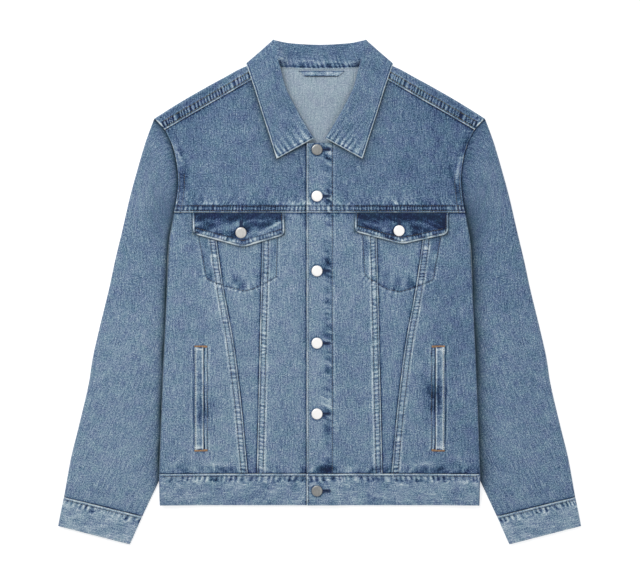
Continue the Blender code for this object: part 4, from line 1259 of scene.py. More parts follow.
def make_stand(steps, roll, neck, turn, facing):
    """The inner band of the collar, seen inside the back of the neck, which runs into the fall beside it."""
    merged = (smooth((steps - 3.0) / 1.1) * (1.0 - smooth((steps - 7.4) / 1.4)))[:, None]
    inset = np.sin(math.pi * turn) * STAND_INSET * 0.4 * (1.0 - merged[:, 0])
    roll = roll - inset[:, None]
    across = stops(STAND_WIDTH, MIDDLING)
    plan = neck[:, None] + (roll - neck)[:, None] * across[None, :, None]
    x, y = plan[..., 0], plan[..., 1]
    from_neck = across[None, :] * np.hypot(*(roll - neck).T)[:, None]
    bank = [row[:2] for row in COLLAR_SECTIONS[4:7]]
    beyond, along = near(bank, x, y)
    bank_turn = np.interp(along / length_of(bank), (0.0, 0.6, 1.0), (0.0, 0.13, 0.5))
    turned = 0.5 + 0.5 * np.cos(math.pi * bank_turn)
    level = (collar_rise(x, y, 0.0, COLLAR_TOP) - COLLAR_CLOTH / 2) * turned
    behind = smooth((steps - 6.2) / 0.4)[:, None]
    halves, tones = [], []
    for side in (1, -1):
        rise = collar_rise(x, y, 1.0 - across[None, :], STAND_TOP)
        rise = rise + (COLLAR_TOP - STAND_TOP) * merged * across[None, :]
        rise = rise + COLLAR_ROLL * merged * (np.sin(math.pi / 2 * across) - across**2)[None, :]
        height = STAND_LOW * (1.0 - merged * across[None, :])
        height = height + (rise - height) * facing[:, None]
        banked = behind * np.maximum(level - height, 0.0) * bell(beyond, BANK_WIDTH)
        height = height + banked * smooth(from_neck / 14.0)
        wave = ridges(side * x + 0.4 * y, 7.4, 91)
        inner = (1.0 - facing[:, None]) * np.exp(-from_neck / 9.0) * smooth(from_neck / 2.0)
        ridge = from_neck - 10.0 - 3.0 * noise(side * x, 0.0, 14.0, 94)
        height += 0.4 * wave * inner + 0.5 * bell(ridge, 3.0)
        tone = -0.2 + 0.1 * merged * across[None, :] + 0.12 * noise(side * x, y, 15.0, 93)
        banding = 0.3 * bell(ridge, 1.8) - 0.16 * (1.0 - smooth((ridge + 3.0) / 3.0))
        tone = tone + 1.1 * wave * inner + (1.0 - facing[:, None]) * banding
        tone = tone + 0.95 * bell(from_neck - 0.4, 1.1) - 0.6 * bell(from_neck - 2.8, 1.0)
        halves.append(raised(mirrored(plan, side), height))
        tones.append(tone)
    points, tone = across_centre(halves), across_centre(tones)
    length = run_along(np.linalg.norm(np.diff(points[:, 0], axis=0), axis=-1))
    place = np.stack(np.broadcast_arrays(across[None, :] * STAND_WIDTH, length[:, None]), axis=-1)
    made = piece("collar_stand_cloth", points, tone, place, WASHED_BOTH, towards="around")
    wall(made, STAND_CLOTH)
    declare("collar_stand")


def rounded(line, radius):
    """The line with each of its corners rounded."""
    line = [np.array(point, float) for point in line]
    made = [line[0]]
    for before, middle, after in zip(line[:-2], line[1:-1], line[2:]):
        start = middle + (before - middle) / np.linalg.norm(before - middle) * radius
        end = middle + (after - middle) / np.linalg.norm(after - middle) * radius
        for t in np.linspace(0.0, 1.0, 6):
            made.append((1 - t) ** 2 * start + 2 * t * (1 - t) * middle + t**2 * end)
    return tuple(tuple(float(v) for v in point) for point in made + [line[-1]])


def flap_rim(name, top):
    """A flap's sides and lower edge, from its inner top corner round to the outer one."""
    flap = FLAPS[name]
    ends = (flap["inner"][0] + 1.5, top), (flap["outer"][0] + 0.5, top)
    return ends[0], flap["inner"], flap["point"], flap["outer"], ends[1]


def flap_face(side):
    name = half_name(side)
    rim = flap_rim(name, FLAP_TOP_Y + 6.0)
    shift = seed_shift(side)
    darker = -0.26 if side > 0 else -0.1

    def face(x, y):
        low, along = near(rim[1:4], x, y)
        low = np.abs(low)
        beside = np.minimum(np.abs(near(rim[:2], x, y)[0]), np.abs(near(rim[3:], x, y)[0]))
        edge = np.abs(near(rounded(rim, FLAP_CORNER), x, y)[0])
        wave = ridges(along, 5.0, 71 + shift)
        between = smooth((low - 2.8) / 1.4) * (1.0 - smooth((low - 8.4) / 1.4)) * smooth((beside - 2.0) / 2.0)
        cloud = noise(x, 1.5 * y, 11.0, 73 + shift)
        crease = noise(0.5 * x + y, 0.3 * y, 4.2, 74 + shift)
        height = back_height(x, y) + BODY_HEIGHT + FLAP_STACK
        height += 0.8 * bell(y - 90.0, 15.0) + 0.34 * wave * between
        height -= 1.3 * rounding(edge, 2.0)
        height += (0.4 * cloud + 0.2 * crease) * smooth((FLAP_TOP_Y - y) / 12.0)
        body = smooth((FLAP_TOP_Y - 6.0 - y) / 9.0)
        tone = -0.86 + darker + 0.66 * body + 0.6 * cloud * body + 0.6 * crease * (0.4 + 0.6 * body)
        tone += (0.36 + 0.75 * wave) * between
        tone += (1.1 + 0.3 * body) * bell(edge - 0.9, 1.9) + 0.35 * cloud * bell(beside - 6.0, 3.0)
        # The stitch rows' grooves, the side rows too, get painted shade in their tone.
        for row, depth in zip(FLAP_ROWS, (0.5, 1.1)):
            height -= GROOVE * bell(low - row, GROOVE_WIDTH)
            tone -= depth * bell(low - row, 1.1) * smooth((beside - 2.0) / 2.0)
        tone -= 0.7 * bell(beside - 3.2, 1.2)
        button_x, button_y = FLAPS[name]["button"]
        hollow, ring = button_dents_and_shadow_rings([(button_x, button_y)], x, y)
        return height + hollow, tone + ring + 0.7 * hole_shade(y - button_y, x, [button_x])

    return face


def make_flap(side):
    name = half_name(side)
    rim = rounded(flap_rim(name, FLAP_TOP_Y), FLAP_CORNER)
    bottom, top = rim[1:-1], (rim[0], rim[-1])
    left, right = (bottom[0], top[0]), (bottom[-1], top[-1])
    us, vs = stops(length_of(bottom), FLAP_STEP), stops(32.0, FLAP_STEP, last=False)
    plan = patch(bottom, top, left, right, us, vs)
    points, tone = raise_plan(plan, flap_face(side))
    shown, place = mirrored(points, side), mirrored(plan, side)
    made = piece(f"pocket_flap_{name}_cloth", shown, tone, place, ("washed_denim",))
    wall(made, DOUBLED)
    declare(f"pocket_flap_{name}")


def make_welt(side):
    name = half_name(side)
    size = (WELT_OUTER_X - WELT_INNER_X, WELT_TOP_Y - WELT_BOTTOM_Y)
    left, right = (upright(x, WELT_BOTTOM_Y, WELT_TOP_Y) for x in (WELT_INNER_X, WELT_OUTER_X))
    us, vs = stops(size[0], 1.6), stops(size[1], 1.7)
    plan = patch((left[0], right[0]), (left[1], right[1]), left, right, us, vs)
    points, tone = raise_plan(plan, welt_face(side))
    shown, place = mirrored(points, side), mirrored(plan, side)
    made = piece(f"hand_pocket_welt_{name}_cloth", shown, tone, place, ("washed_denim",))
    wall(made, CLOTH)
    declare(f"hand_pocket_welt_{name}")


def welt_face(side):
    shift = seed_shift(side)

    def face(x, y):
        height = back_height(x, y) + BODY_HEIGHT + STACK_GAP + CLOTH
        inner, outer = x - WELT_INNER_X, WELT_OUTER_X - x
        end = np.minimum(y - WELT_BOTTOM_Y, WELT_TOP_Y - y)
        rim = np.minimum(np.minimum(inner, outer), end)
        height -= 1.3 * rounding(rim, 1.8)
        wave = ridges(y, 9.0, 78 + shift)
        height += 0.25 * wave * bell(inner - 3.0, 4.0)
        tone = 0.12 + 0.9 * bell(inner - 0.7, 1.3) + 0.16 * wave - 0.25 * bell(inner - 3.6, 1.0)
        tone += 0.9 * bell(outer - 2.6, 1.4) - 0.7 * bell(outer - 0.5, 1.1)
        # The dark at the welt's ends is painted shadow under the bar tacks.
        tone += 0.7 * bell(end - 4.0, 2.2) - 1.1 * bell(end - 1.0, 1.4) * bell(inner - 4.0, 4.0)
        # Darker round the middle of the slit.
        slit_middle = bell(y + 154.0 + shift * 0.4, 24.0)
        deep = (1.5 - 0.012 * shift) * slit_middle * bell(inner - 4.0, 6.5)
        tone -= deep * (0.7 + 0.3 * noise(x, y, 5.0, 79 + shift))
        return height, tone + 0.16 * noise(x, 0.5 * y, 7.0, 80 + shift)

    return face


def make_loop():
    """The hanger loop, a narrow strip below the inside of the neck seam."""
    low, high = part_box("hanger_loop")
    low, high = np.array(low) / MM, np.array(high) / MM
    bottom = ((low[0] + LOOP_TAPER, low[1]), (high[0] - LOOP_TAPER, low[1]))
    top = ((low[0], high[1]), (high[0], high[1]))
    us, vs = stops(high[0] - low[0], 1.6), stops(high[1] - low[1], 0.9)
    plan = patch(bottom, top, (bottom[0], top[0]), (bottom[1], top[1]), us, vs)
    share = plan[..., 0] / (high[0] - low[0])
    rim = np.minimum(vs, 1.0 - vs)[None, :] * (high[1] - low[1])
    height = high[2] + 0.9 * np.cos(math.pi * share) - 0.7 * rounding(rim, 1.4)
    points = raised(plan, height)
    lower = (vs[None, :] * (high[1] - low[1])) * np.ones(share.shape)
    upper = (1.0 - vs[None, :]) * (high[1] - low[1]) * np.ones(share.shape)
    # The dark lines along the loop's lower and upper edges are painted shadow.
    tone = 0.2 * bell(rim - 2.0, 1.2) - 1.4 * bell(lower - 0.4, 1.2) - 0.9 * bell(upper - 0.6, 1.2)
    tone = tone + 0.3 * noise(plan[..., 0], plan[..., 1], 6.0, 95)
    made = piece("hanger_loop_cloth", points, tone, plan, ("loop_denim",))
    wall(made, LOOP_CLOTH)
    declare("hanger_loop")


# Thread


class Thread:
    """Stitches gathered into one mesh: each is a short rounded bar that dips into the cloth at both ends."""

    SIDES = 5
    ALONG = np.array([-0.04, 0.22, 0.78, 1.04])
    WIDE = np.array([0.3, 1.0, 1.0, 0.3])
    HIGH = np.array([-0.7, 0.35, 0.35, -0.7])

    def __init__(self):
        self.starts, self.ends = [], []

    def add(self, starts, ends):
        self.starts.append(np.asarray(starts, float))
        self.ends.append(np.asarray(ends, float))

    def finish(self, name, finish, radius):
        starts, ends = np.concatenate(self.starts), np.concatenate(self.ends)
        run = ends - starts
        ahead = run / np.linalg.norm(run, axis=-1, keepdims=True)
        beside = np.cross((0.0, 0.0, 1.0), ahead)
        beside /= np.linalg.norm(beside, axis=-1, keepdims=True)
        above = np.cross(ahead, beside)
        turns = np.arange(self.SIDES) * 2.0 * math.pi / self.SIDES
        spots = starts[:, None] + run[:, None] * self.ALONG[None, :, None]
        spots = spots + above[:, None] * (self.HIGH * radius)[None, :, None]
        rings = spots[:, :, None] + beside[:, None, None] * (
            np.cos(turns)[None, None, :, None] * (self.WIDE * radius)[None, :, None, None]
        )
        rings = rings + above[:, None, None] * (
            np.sin(turns)[None, None, :, None] * (self.WIDE * radius * 0.8)[None, :, None, None]
        )
        per = len(self.ALONG) * self.SIDES
        ring, turn = np.meshgrid(np.arange(len(self.ALONG) - 1), np.arange(self.SIDES), indexing="ij")
        after = (turn + 1) % self.SIDES
        quad = [ring * self.SIDES + turn, ring * self.SIDES + after]
        quad += [(ring + 1) * self.SIDES + after, (ring + 1) * self.SIDES + turn]
        quad = np.stack(quad, -1).reshape(-1, 4)
        faces = (quad[None] + (np.arange(len(starts)) * per)[:, None, None]).reshape(-1, 4).tolist()
        caps = np.arange(self.SIDES)
        for index in range(len(starts)):
            faces.append((index * per + caps[::-1]).tolist())
            faces.append((index * per + per - self.SIDES + caps).tolist())
        mesh = bpy.data.meshes.new(name)
        mesh.from_pydata((rings.reshape(-1, 3) * MM).tolist(), [], faces)
        made = shown_object(name, mesh, (finish,))


def offset(line, distance):
    """The line moved to its left by a distance, with mitred corners."""
    line = np.array(line, float)
    run = np.diff(line, axis=0)
    normal = np.stack([-run[:, 1], run[:, 0]], -1) / np.linalg.norm(run, axis=-1, keepdims=True)
    at = np.concatenate([normal[:1], normal[:-1] + normal[1:], normal[-1:]])
    joins = np.concatenate([[1.0], np.full(len(line) - 2, 2.0), [1.0]])
    at = at / (at**2).sum(axis=-1, keepdims=True) * joins[:, None]
    return line + at * distance


def sew(thread, line, face, side, start=0.0, end=0.0, pitch=STITCH_PITCH, size=STITCH_LENGTH):
    """A row of stitches along a line of one half, on a surface, short of the line's ends by start and end."""
    length = length_of(line)
    count = int((length - start - end) / pitch)
    if count < 1:
        return
    at = start + np.arange(count) * pitch + 0.3 * noise(np.arange(count), count, 1.7, int(length))
    first, last = walk(line, at / length), walk(line, (at + size) / length)
    spots = []
    for ends in (first, last):
        height = face(ends[:, 0], ends[:, 1])[0]
        spots.append(np.column_stack([side * ends[:, 0], ends[:, 1], height]))
    thread.add(*spots)


def sew_body(thread, olive, side):
    """Every topstitched row on one half of the body: olive is the shoulders' thread."""
    faces = {kind: front(kind, side) for kind in ("yoke", "centre", "insert", "side")}
    sew_seams(thread, olive, faces, side)
    if side > 0:
        sew_placket(thread, faces)
    sew_pockets(thread, faces, side)
    sew_flap(thread, side)


def sew_seams(thread, olive, faces, side):
    free = LEFT_FREE_X if side > 0 else -LEFT_FREE_X
    for row in SEAMS["yoke"]["rows"]:
        line = ((free, FRONT_YOKE_Y + row), (215.5, FRONT_YOKE_Y + row))
        sew(thread, line, faces["yoke"], side, 0.6, 1.0)
    for row in SEAMS["inner"]["rows"]:
        sew(thread, moved(curved(INSERT_INNER, 12.0), -row), faces["centre"], side, 1.0, 1.5)
        sew(thread, moved(curved(INSERT_OUTER, 12.0), row * 1.02), faces["side"], side, 1.0, 1.5)
    for row in SEAMS["armhole"]["rows"]:
        line = offset(seam_lines(side)["armhole"], row)
        below = [p for p in line if p[1] < ARMHOLE_ROWS_TOP_Y]
        sew(thread, below, faces["yoke"], side, 1.0, 0.5)
    for row in SEAMS["shoulder"]["rows"]:
        sew(olive, offset(SHOULDER_SEAM, row), strip_face, side, 12.0, 3.0)


def sew_placket(thread, faces):
    for low, high, kind in ((FRONT_YOKE_Y, 222.0, "yoke"), (BAND_TOP_Y, FRONT_YOKE_Y, "centre")):
        for x in (PLACKET_X - 1.0, LEFT_FREE_X + 2.4):
            sew(thread, upright(x, low, high), faces[kind], 1, 1.0, 1.0)


def sew_pockets(thread, faces, side):
    """The outline of the chest pocket over three panels, and the rows beside and on the welt."""
    pocket = offset(pocket_line(side), 1.0)
    panels = (
        ("centre", -50.0, INSERT_INNER),
        ("insert", INSERT_INNER, INSERT_OUTER),
        ("side", INSERT_OUTER, 400.0),
    )
    for kind, left, right in panels:
        sew_inside(thread, pocket, faces[kind], side, left, right, FRONT_YOKE_Y - 30.0)
    sew(thread, upright(WELT_FRAME_X, WELT_BOTTOM_Y, WELT_TOP_Y), faces["side"], side)
    sew(thread, upright(WELT_OUTER_X - 2.4, WELT_BOTTOM_Y, WELT_TOP_Y), welt_face(side), side, 1.0, 1.0)


def sew_flap(thread, side):
    flap = flap_face(side)
    rim = flap_rim(half_name(side), FLAP_TOP_Y)
    outer = rounded(offset(rim, FLAP_ROWS[0]), 4.0)
    sew(thread, outer, flap, side, 0.5, 0.5, FLAP_PITCH, FLAP_STITCH)
    inner = offset(rim[1:4], FLAP_ROWS[1])
    sew(thread, inner, flap, side, 3.0, 3.0, FLAP_PITCH, FLAP_STITCH)


def bound_x(limit, y):
    """x of an upright bound at a height: a number, or an edge's table."""
    if isinstance(limit, float):
        return limit
    return float(np.interp(y, [p[1] for p in limit], [p[0] for p in limit]))


def sew_inside(thread, line, face, side, left, right, top):
    """The stretches of a row that lie between two upright bounds, and below a height."""
    fine = walk(line, np.linspace(0.0, 1.0, 240))
    shown = [bound_x(left, y) + 0.5 < x < bound_x(right, y) - 0.5 and y < top for x, y in fine]
    start = None
    for index, inside in enumerate(shown + [False]):
        if inside and start is None:
            start = index
        if not inside and start is not None:
            if index - start > 2:
                sew(thread, fine[start:index], face, side, 0.5, 0.5)
            start = None


def sew_bands(thread, side):
    """Rows on the waistband and the cuff of one half."""
    face = band_face(side)

    def on_band(x, y):
        up, tone = face(x, y)
        lift = BAND_OVERLAP_LIFT * overlap(x) if side > 0 else 0.0
        return back_height(x, y) + BAND_HEIGHT + up + lift, tone

    first = LEFT_FREE_X if side > 0 else -LEFT_FREE_X
    row = SEAMS["waist"]["rows"][0]
    sew(thread, ((first + 0.5, BAND_TOP_Y - row), (237.0, BAND_TOP_Y - row)), on_band, side, 0.5, 0.5)
    if side > 0:
        x = LEFT_FREE_X + 2.6
        sew(thread, upright(x, HEM_Y + 4.0, BAND_TOP_Y - 3.0), on_band, side, 0.5, 0.5)
    cuff = cuff_face(side)
    top = offset(seam_lines(side)["cuff"], SEAMS["cuff"]["rows"][0])
    sew(thread, top, cuff, side, 4.0, 4.0)


def tack(thread, centre, half, face, side):
    """A bar tack across the jacket: close upright stitches, side by side."""
    xs = np.arange(-half, half + 0.1, 0.6) + centre[0]
    low = np.column_stack([xs, np.full(len(xs), centre[1] - TACK_LENGTH / 2)])
    high = np.column_stack([xs, np.full(len(xs), centre[1] + TACK_LENGTH / 2)])
    spots = [np.column_stack([side * p[:, 0], p[:, 1], face(p[:, 0], p[:, 1])[0] + 0.3]) for p in (low, high)]
    thread.add(*spots)


def buttonhole(thread, centre, along, length, z):
    """Close stitches round a slit that runs from centre in a direction."""
    along = np.array(along, float)
    across = np.array([-along[1], along[0]])
    at = np.arange(0.0, length, HOLE_PITCH)
    for way in (1.0, -1.0):
        start = np.array(centre) + along * at[:, None] + across * way * HOLE_GAP
        end = start + across * way * HOLE_STITCH
        thread.add(np.column_stack([start, np.full(len(at), z)]), np.column_stack([end, np.full(len(at), z)]))
    for angle in np.radians(np.arange(-75.0, 76.0, 25.0)):
        out = along * math.cos(angle) + across * math.sin(angle)
        for base, way in ((np.array(centre) + along * length, 1.0), (np.array(centre), -1.0)):
            start, end = base + out * way * HOLE_GAP, base + out * way * HOLE_FAN
            thread.add([(*start, z)], [(*end, z)])


def slit(name, centre, along, length, z):
    """The dark gap in a buttonhole: a dark sheet that stands for the shade in the slit."""
    along = np.array(along, float)
    across = np.array([-along[1], along[0]])
    turns = np.linspace(0.0, 2.0 * math.pi, 25)[:-1]
    middle = np.array(centre) + along * length / 2
    rim = [middle + along * (length / 2) * math.cos(a) + across * 0.7 * math.sin(a) for a in turns]
    mesh = bpy.data.meshes.new(name)
    points = [(x * MM, y * MM, (z + 0.05) * MM) for x, y in rim]
    mesh.from_pydata(points, [], [tuple(range(len(points)))])
    made = shown_object(name, mesh, ("shadow_navy",))
    solid = made.modifiers.new("depth", "SOLIDIFY")
    solid.thickness = SLIT_DEPTH * MM


# Buttons


def make_button(node):
    """A plain domed button cap with a rolled rim, on its shank."""
    low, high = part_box(node)
    x, y = (low[0] + high[0]) / 2, (low[1] + high[1]) / 2
    base = high[2] - BUTTON_HEIGHT * MM
    foot = (low[2] - base) / MM
    profile = BUTTON_PROFILE + ((SHANK_RADIUS, foot), (0.0, foot))
    mesh = bpy.data.meshes.new(f"{node}_metal")
    edges = [(i, i + 1) for i in range(len(profile) - 1)]
    mesh.from_pydata([(r * MM, 0.0, z * MM) for r, z in profile], edges, [])
    finish = BUTTON_FINISHES.get(node, "bright_metal")
    made = shown_object(f"{node}_metal", mesh, (finish,))
    made.location = (x, y, base)
    turned = made.modifiers.new("turned", "SCREW")
    turned.axis = "Z"
    turned.steps = BUTTON_SIDES
    turned.render_steps = BUTTON_SIDES
    turned.use_merge_vertices = True
    turned.merge_threshold = 1e-5
    turned.use_smooth_shade = True
    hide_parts(node)


def make_buttons(thread):
    face = {1: front("yoke", 1), 0: front("centre", 1)}
    for number in range(1, 7):
        node = f"front_button_{number}"
        make_button(node)
        low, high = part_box(node)
        x, y = (low[0] + high[0]) / 2 / MM, (low[1] + high[1]) / 2 / MM
        if y < BAND_TOP_Y:
            z = BAND_HEIGHT + BAND_OVERLAP_LIFT + LAP + THREAD_LIFT
        else:
            z = float(face[int(y > FRONT_YOKE_Y)](np.array([x + 14.0]), np.array([y]))[0][0]) + THREAD_LIFT
        place = ((x - HOLE_START, y), (1.0, 0.0), HOLE_LENGTH, z)
        buttonhole(thread, *place)
        slit(f"hole_{number}_slit", *place)
    for side in (1, -1):
        name = half_name(side)
        make_button(f"pocket_button_{name}")
        x, y = FLAPS[name]["button"]
        z = float(flap_face(side)(np.array([x]), np.array([y + 12.0]))[0][0]) + THREAD_LIFT
        place = ((side * x, y - HOLE_START), (0.0, 1.0), HOLE_LENGTH * POCKET_HOLE_SHARE, z)
        buttonhole(thread, *place)
        slit(f"hole_pocket_{name}_slit", *place)


# Materials


def srgb(red, green, blue):
    """A colour from its 0 to 255 screen values."""
    shares = (red / 255, green / 255, blue / 255)
    linear = [c / 12.92 if c <= 0.04045 else ((c + 0.055) / 1.055) ** 2.4 for c in shares]
    return (*linear, 1.0)


class Nodes:
    """Short calls to add and join a material's nodes."""

    def __init__(self, name):
        self.material = bpy.data.materials.new(name)
        self.material.use_nodes = True
        self.tree = self.material.node_tree
        self.shader = self.tree.nodes["Principled BSDF"]

    def add(self, kind, inputs=(), **settings):
        node = self.tree.nodes.new(kind)
        for key, value in settings.items():
            setattr(node, key, value)
        for key, value in dict(inputs).items():
            self.give(node.inputs[key], value)
        return node

    def give(self, socket, value):
        if isinstance(value, bpy.types.NodeSocket):
            self.tree.links.new(value, socket)
        else:
            socket.default_value = value

    def maths(self, operation, first, second=0.5, third=None):
        node = self.add("ShaderNodeMath", {0: first, 1: second}, operation=operation)
        if third is not None:
            self.give(node.inputs[2], third)
        return node.outputs[0]

    def noise(self, vector, scale, detail, stretch=None):
        if stretch is not None:
            vector = self.add("ShaderNodeMapping", {"Vector": vector, "Scale": stretch}).outputs[0]
        inputs = {"Vector": vector, "Scale": scale, "Detail": detail, "Roughness": 0.6}
        return self.add("ShaderNodeTexNoise", inputs).outputs["Fac"]

    def ramp(self, value, stops):
        node = self.add("ShaderNodeValToRGB", {"Fac": value})
        while len(node.color_ramp.elements) < len(stops):
            node.color_ramp.elements.new(0.5)
        for element, (place, colour) in zip(node.color_ramp.elements, stops):
            element.position = place
            element.color = colour
        return node.outputs["Color"]


DENIM_RAMP = (
    (0.0, srgb(10, 28, 56)),
    (0.2, srgb(30, 57, 93)),
    (0.42, srgb(80, 107, 139)),
    (0.55, srgb(110, 134, 158)),
    (0.72, srgb(148, 168, 183)),
    (1.0, srgb(206, 217, 222)),
)
HUE_SPREAD = 0.07
GRAIN_STRETCH = (1.0, 0.8, 1.0)
SLUB_STRETCH = (1.0, 0.06, 1.0)
SLUB_SCALE, FLECK_SCALE, MOTTLE_SCALE, CLOUD_SCALE, TWILL_SCALE = 850.0, 760.0, 380.0, 60.0, 330.0
GRAIN_STRENGTHS = (0.52, 1.2, 0.6, 0.16, 0.06)  # of the slub, fleck, mottle, cloud and twill
SHADOW_COLOUR = srgb(20, 42, 50)
REVERSE_RAMP = (
    (0.0, srgb(86, 104, 124)),
    (0.4, srgb(134, 151, 167)),
    (0.6, srgb(158, 174, 186)),
    (1.0, srgb(205, 212, 214)),
)


def make_denim(name, ramp, tone_share, middle):
    """Washed twill: dark warp slubs over pale weft, mottled by the wash, paler or darker by its tone."""
    nodes = Nodes(name)
    grain = nodes.add("ShaderNodeAttribute", attribute_name="grain").outputs["Vector"]
    tone = nodes.add("ShaderNodeAttribute", attribute_name="tone").outputs["Fac"]
    slub = nodes.noise(grain, SLUB_SCALE, 1.0, SLUB_STRETCH)
    fleck = nodes.noise(grain, FLECK_SCALE, 3.0, GRAIN_STRETCH)
    mottle = nodes.noise(grain, MOTTLE_SCALE, 4.0, GRAIN_STRETCH)
    cloud = nodes.noise(grain, CLOUD_SCALE, 3.0)
    twill = nodes.add(
        "ShaderNodeTexWave",
        {"Vector": nodes.add("ShaderNodeMapping", {"Vector": grain, "Rotation": (0.0, 0.0, 0.5)}).outputs[0],
         "Scale": TWILL_SCALE, "Distortion": 1.2, "Detail": 1.0, "Detail Scale": 3.0},
        wave_type="BANDS",
        bands_direction="X",
    ).outputs["Fac"]
    value = nodes.maths("MULTIPLY_ADD", tone, tone_share, middle)
    for part, strength in zip((slub, fleck, mottle, cloud, twill), GRAIN_STRENGTHS):
        centred = nodes.maths("SUBTRACT", part, 0.5)
        value = nodes.maths("MULTIPLY_ADD", centred, strength, value)
    hue = nodes.maths("MULTIPLY_ADD", nodes.noise(grain, 55.0, 2.0), HUE_SPREAD, 0.5 - HUE_SPREAD / 2)
    tinted = nodes.add("ShaderNodeHueSaturation", {"Color": nodes.ramp(value, ramp), "Hue": hue})
    colour = tinted.outputs["Color"]
    shadow = nodes.add("ShaderNodeAttribute", attribute_name="shadow").outputs["Fac"]
    shaded = nodes.add("ShaderNodeMixRGB", {"Fac": shadow, "Color1": colour, "Color2": SHADOW_COLOUR})
    nodes.give(nodes.shader.inputs["Base Color"], shaded.outputs["Color"])
    relief = nodes.maths("MULTIPLY_ADD", twill, 0.5, nodes.maths("MULTIPLY", fleck, 0.8))
    bump = nodes.add("ShaderNodeBump", {"Height": relief, "Strength": 0.55, "Distance": 0.0004})
    nodes.give(nodes.shader.inputs["Normal"], bump.outputs["Normal"])
    nodes.shader.inputs["Roughness"].default_value = 0.92
    nodes.shader.inputs["Specular IOR Level"].default_value = 0.18
    nodes.shader.inputs["Sheen Weight"].default_value = 0.12
    nodes.shader.inputs["Sheen Roughness"].default_value = 0.6


def make_thread(name, dark, light, roughness=0.7):
    """Twisted cotton: a colour that varies along the thread."""
    nodes = Nodes(name)
    place = nodes.add("ShaderNodeTexCoord").outputs["Object"]
    value = nodes.noise(place, 420.0, 2.0)
    nodes.give(nodes.shader.inputs["Base Color"], nodes.ramp(value, ((0.3, dark), (0.7, light))))
    twist = nodes.noise(place, 2400.0, 1.0)
    bump = nodes.add("ShaderNodeBump", {"Height": twist, "Strength": 0.4, "Distance": 0.0002})
    nodes.give(nodes.shader.inputs["Normal"], bump.outputs["Normal"])
    nodes.shader.inputs["Roughness"].default_value = roughness


def make_metal(name, dark, light, metallic):
    nodes = Nodes(name)
    place = nodes.add("ShaderNodeTexCoord").outputs["Object"]
    scratch = nodes.noise(place, 900.0, 3.0, (1.0, 0.16, 1.0))
    nodes.give(nodes.shader.inputs["Base Color"], nodes.ramp(scratch, ((0.3, dark), (0.7, light))))
    bump = nodes.add("ShaderNodeBump", {"Height": scratch, "Strength": 0.1, "Distance": 0.0001})
    nodes.give(nodes.shader.inputs["Normal"], bump.outputs["Normal"])
    nodes.shader.inputs["Metallic"].default_value = metallic
    nodes.shader.inputs["Roughness"].default_value = 0.34


def make_materials():
    make_denim("washed_denim", DENIM_RAMP, 0.42, 0.5)
    make_denim("pale_denim", REVERSE_RAMP, 0.12, 0.5)
    make_denim("loop_denim", DENIM_RAMP, 0.42, 0.64)
    make_thread("thread_grey", srgb(58, 64, 66), srgb(112, 108, 98))
    make_thread("thread_olive", srgb(60, 68, 56), srgb(124, 120, 96))
    make_thread("thread_rust", srgb(112, 82, 60), srgb(176, 140, 104))
    make_thread("thread_navy", srgb(20, 40, 76), srgb(42, 68, 108))
    # shadow_navy is painted shade for the buttonhole slits, made with the thread's nodes.
    make_thread("shadow_navy", srgb(10, 22, 44), srgb(20, 36, 64), 0.95)
    # One button metal, lit, and in two copies greyed with painted shade for the buttons that lie in shade.
    make_metal("bright_metal", srgb(250, 247, 245), srgb(255, 254, 253), 0.25)
    make_metal("half_shaded_metal", srgb(184, 182, 180), srgb(222, 220, 217), 0.5)
    make_metal("shaded_metal", srgb(128, 130, 130), srgb(168, 168, 166), 0.8)


# Stage, in metres: each light's name, place, size and power

LIGHTS = (("key", (-0.9, 1.5, 1.9), 1.3, 34.0), ("fill", (1.4, -0.6, 2.2), 2.0, 8.0))
FLOOR_SIZE = 8.0
FLOOR_Z = -0.0004
FLOOR_GLOW = 0.55
WORLD_STRENGTH = 0.62
CAMERA_PLACE = (0.0006, 0.0, 2.667)
LENS = 100.0
SENSOR = 36.0
WHITE = (1.0, 1.0, 1.0, 1.0)


def make_floor():
    bpy.ops.mesh.primitive_plane_add(size=FLOOR_SIZE, location=(0.0, 0.0, FLOOR_Z))
    floor = bpy.context.object
    floor.name = "studio_floor"
    nodes = Nodes("studio_floor")
    place = nodes.add("ShaderNodeTexCoord").outputs["Object"]
    nodes.give(
        nodes.shader.inputs["Base Color"],
        nodes.ramp(nodes.noise(place, 3.0, 2.0), ((0.3, srgb(206, 206, 206)), (0.7, srgb(212, 212, 212)))),
    )
    nodes.shader.inputs["Roughness"].default_value = 0.9
    nodes.shader.inputs["Specular IOR Level"].default_value = 0.1
    nodes.shader.inputs["Emission Color"].default_value = WHITE
    nodes.shader.inputs["Emission Strength"].default_value = FLOOR_GLOW
    floor.data.materials.append(nodes.material)


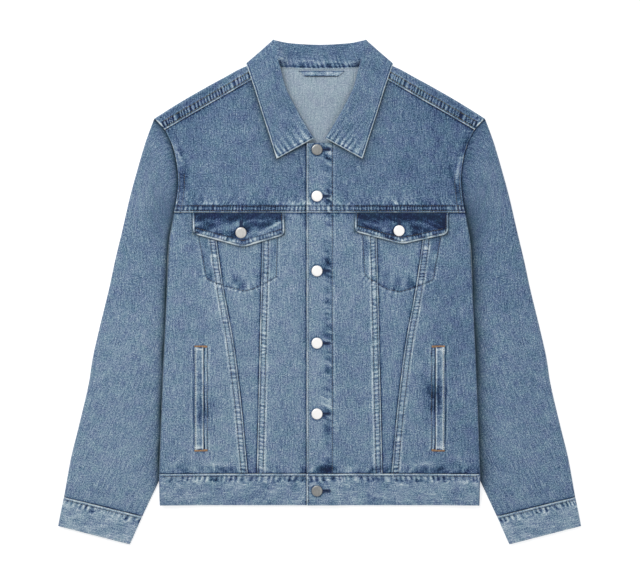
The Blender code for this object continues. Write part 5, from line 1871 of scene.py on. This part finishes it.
def make_lights():
    world = bpy.data.worlds.new("studio")
    world.use_nodes = True
    world.node_tree.nodes["Background"].inputs["Color"].default_value = WHITE
    world.node_tree.nodes["Background"].inputs["Strength"].default_value = WORLD_STRENGTH
    bpy.context.scene.world = world

    for name, place, size, power in LIGHTS:
        light = bpy.data.lights.new(name, "AREA")
        light.size = size
        light.energy = power
        lamp = bpy.data.objects.new(name, light)
        lamp.location = place
        aim = -np.array(place) / np.linalg.norm(place)
        lamp.rotation_euler = (math.acos(-aim[2]), 0.0, math.atan2(-aim[0], aim[1]))
        bpy.context.scene.collection.objects.link(lamp)


def make_camera():
    lens = bpy.data.cameras.new("camera")
    lens.lens = LENS
    lens.sensor_width = SENSOR
    camera = bpy.data.objects.new("camera", lens)
    camera.location = CAMERA_PLACE
    bpy.context.scene.collection.objects.link(camera)
    bpy.context.scene.camera = camera
    bpy.context.scene.view_settings.view_transform = "Standard"


def finish_nodes():
    """The chest pockets' bags stay as the CAD made them, behind the fronts."""
    for name in ("chest_pocket_left", "chest_pocket_right"):
        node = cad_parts[name]
        node.data.materials.clear()
        node.data.materials.append(bpy.data.materials["pale_denim"])


def main():
    make_floor()
    make_lights()
    make_camera()
    make_materials()
    make_back()
    make_back_yoke()
    for side in (1, -1):
        make_fronts(side)
        make_sleeve(side)
        make_cuff(side)
        make_flap(side)
        make_welt(side)
    make_waistband()
    make_collar()
    make_loop()
    topstitch, olive, rust, navy = Thread(), Thread(), Thread(), Thread()
    for side in (1, -1):
        sew_body(topstitch, olive, side)
        sew_bands(topstitch, side)
        face = front("side", side)
        for y in (WELT_TOP_Y + 0.5, WELT_BOTTOM_Y - 0.5):
            tack(rust, ((WELT_FRAME_X + WELT_OUTER_X) / 2, y), TACK_HALF, face, side)
    make_buttons(navy)
    topstitch.finish("topstitching", "thread_grey", STITCH_RADIUS)
    olive.finish("shoulder_stitching", "thread_olive", OLIVE_RADIUS)
    rust.finish("bar_tacks", "thread_rust", RUST_RADIUS)
    navy.finish("buttonhole_thread", "thread_navy", NAVY_RADIUS)
    finish_nodes()


main()
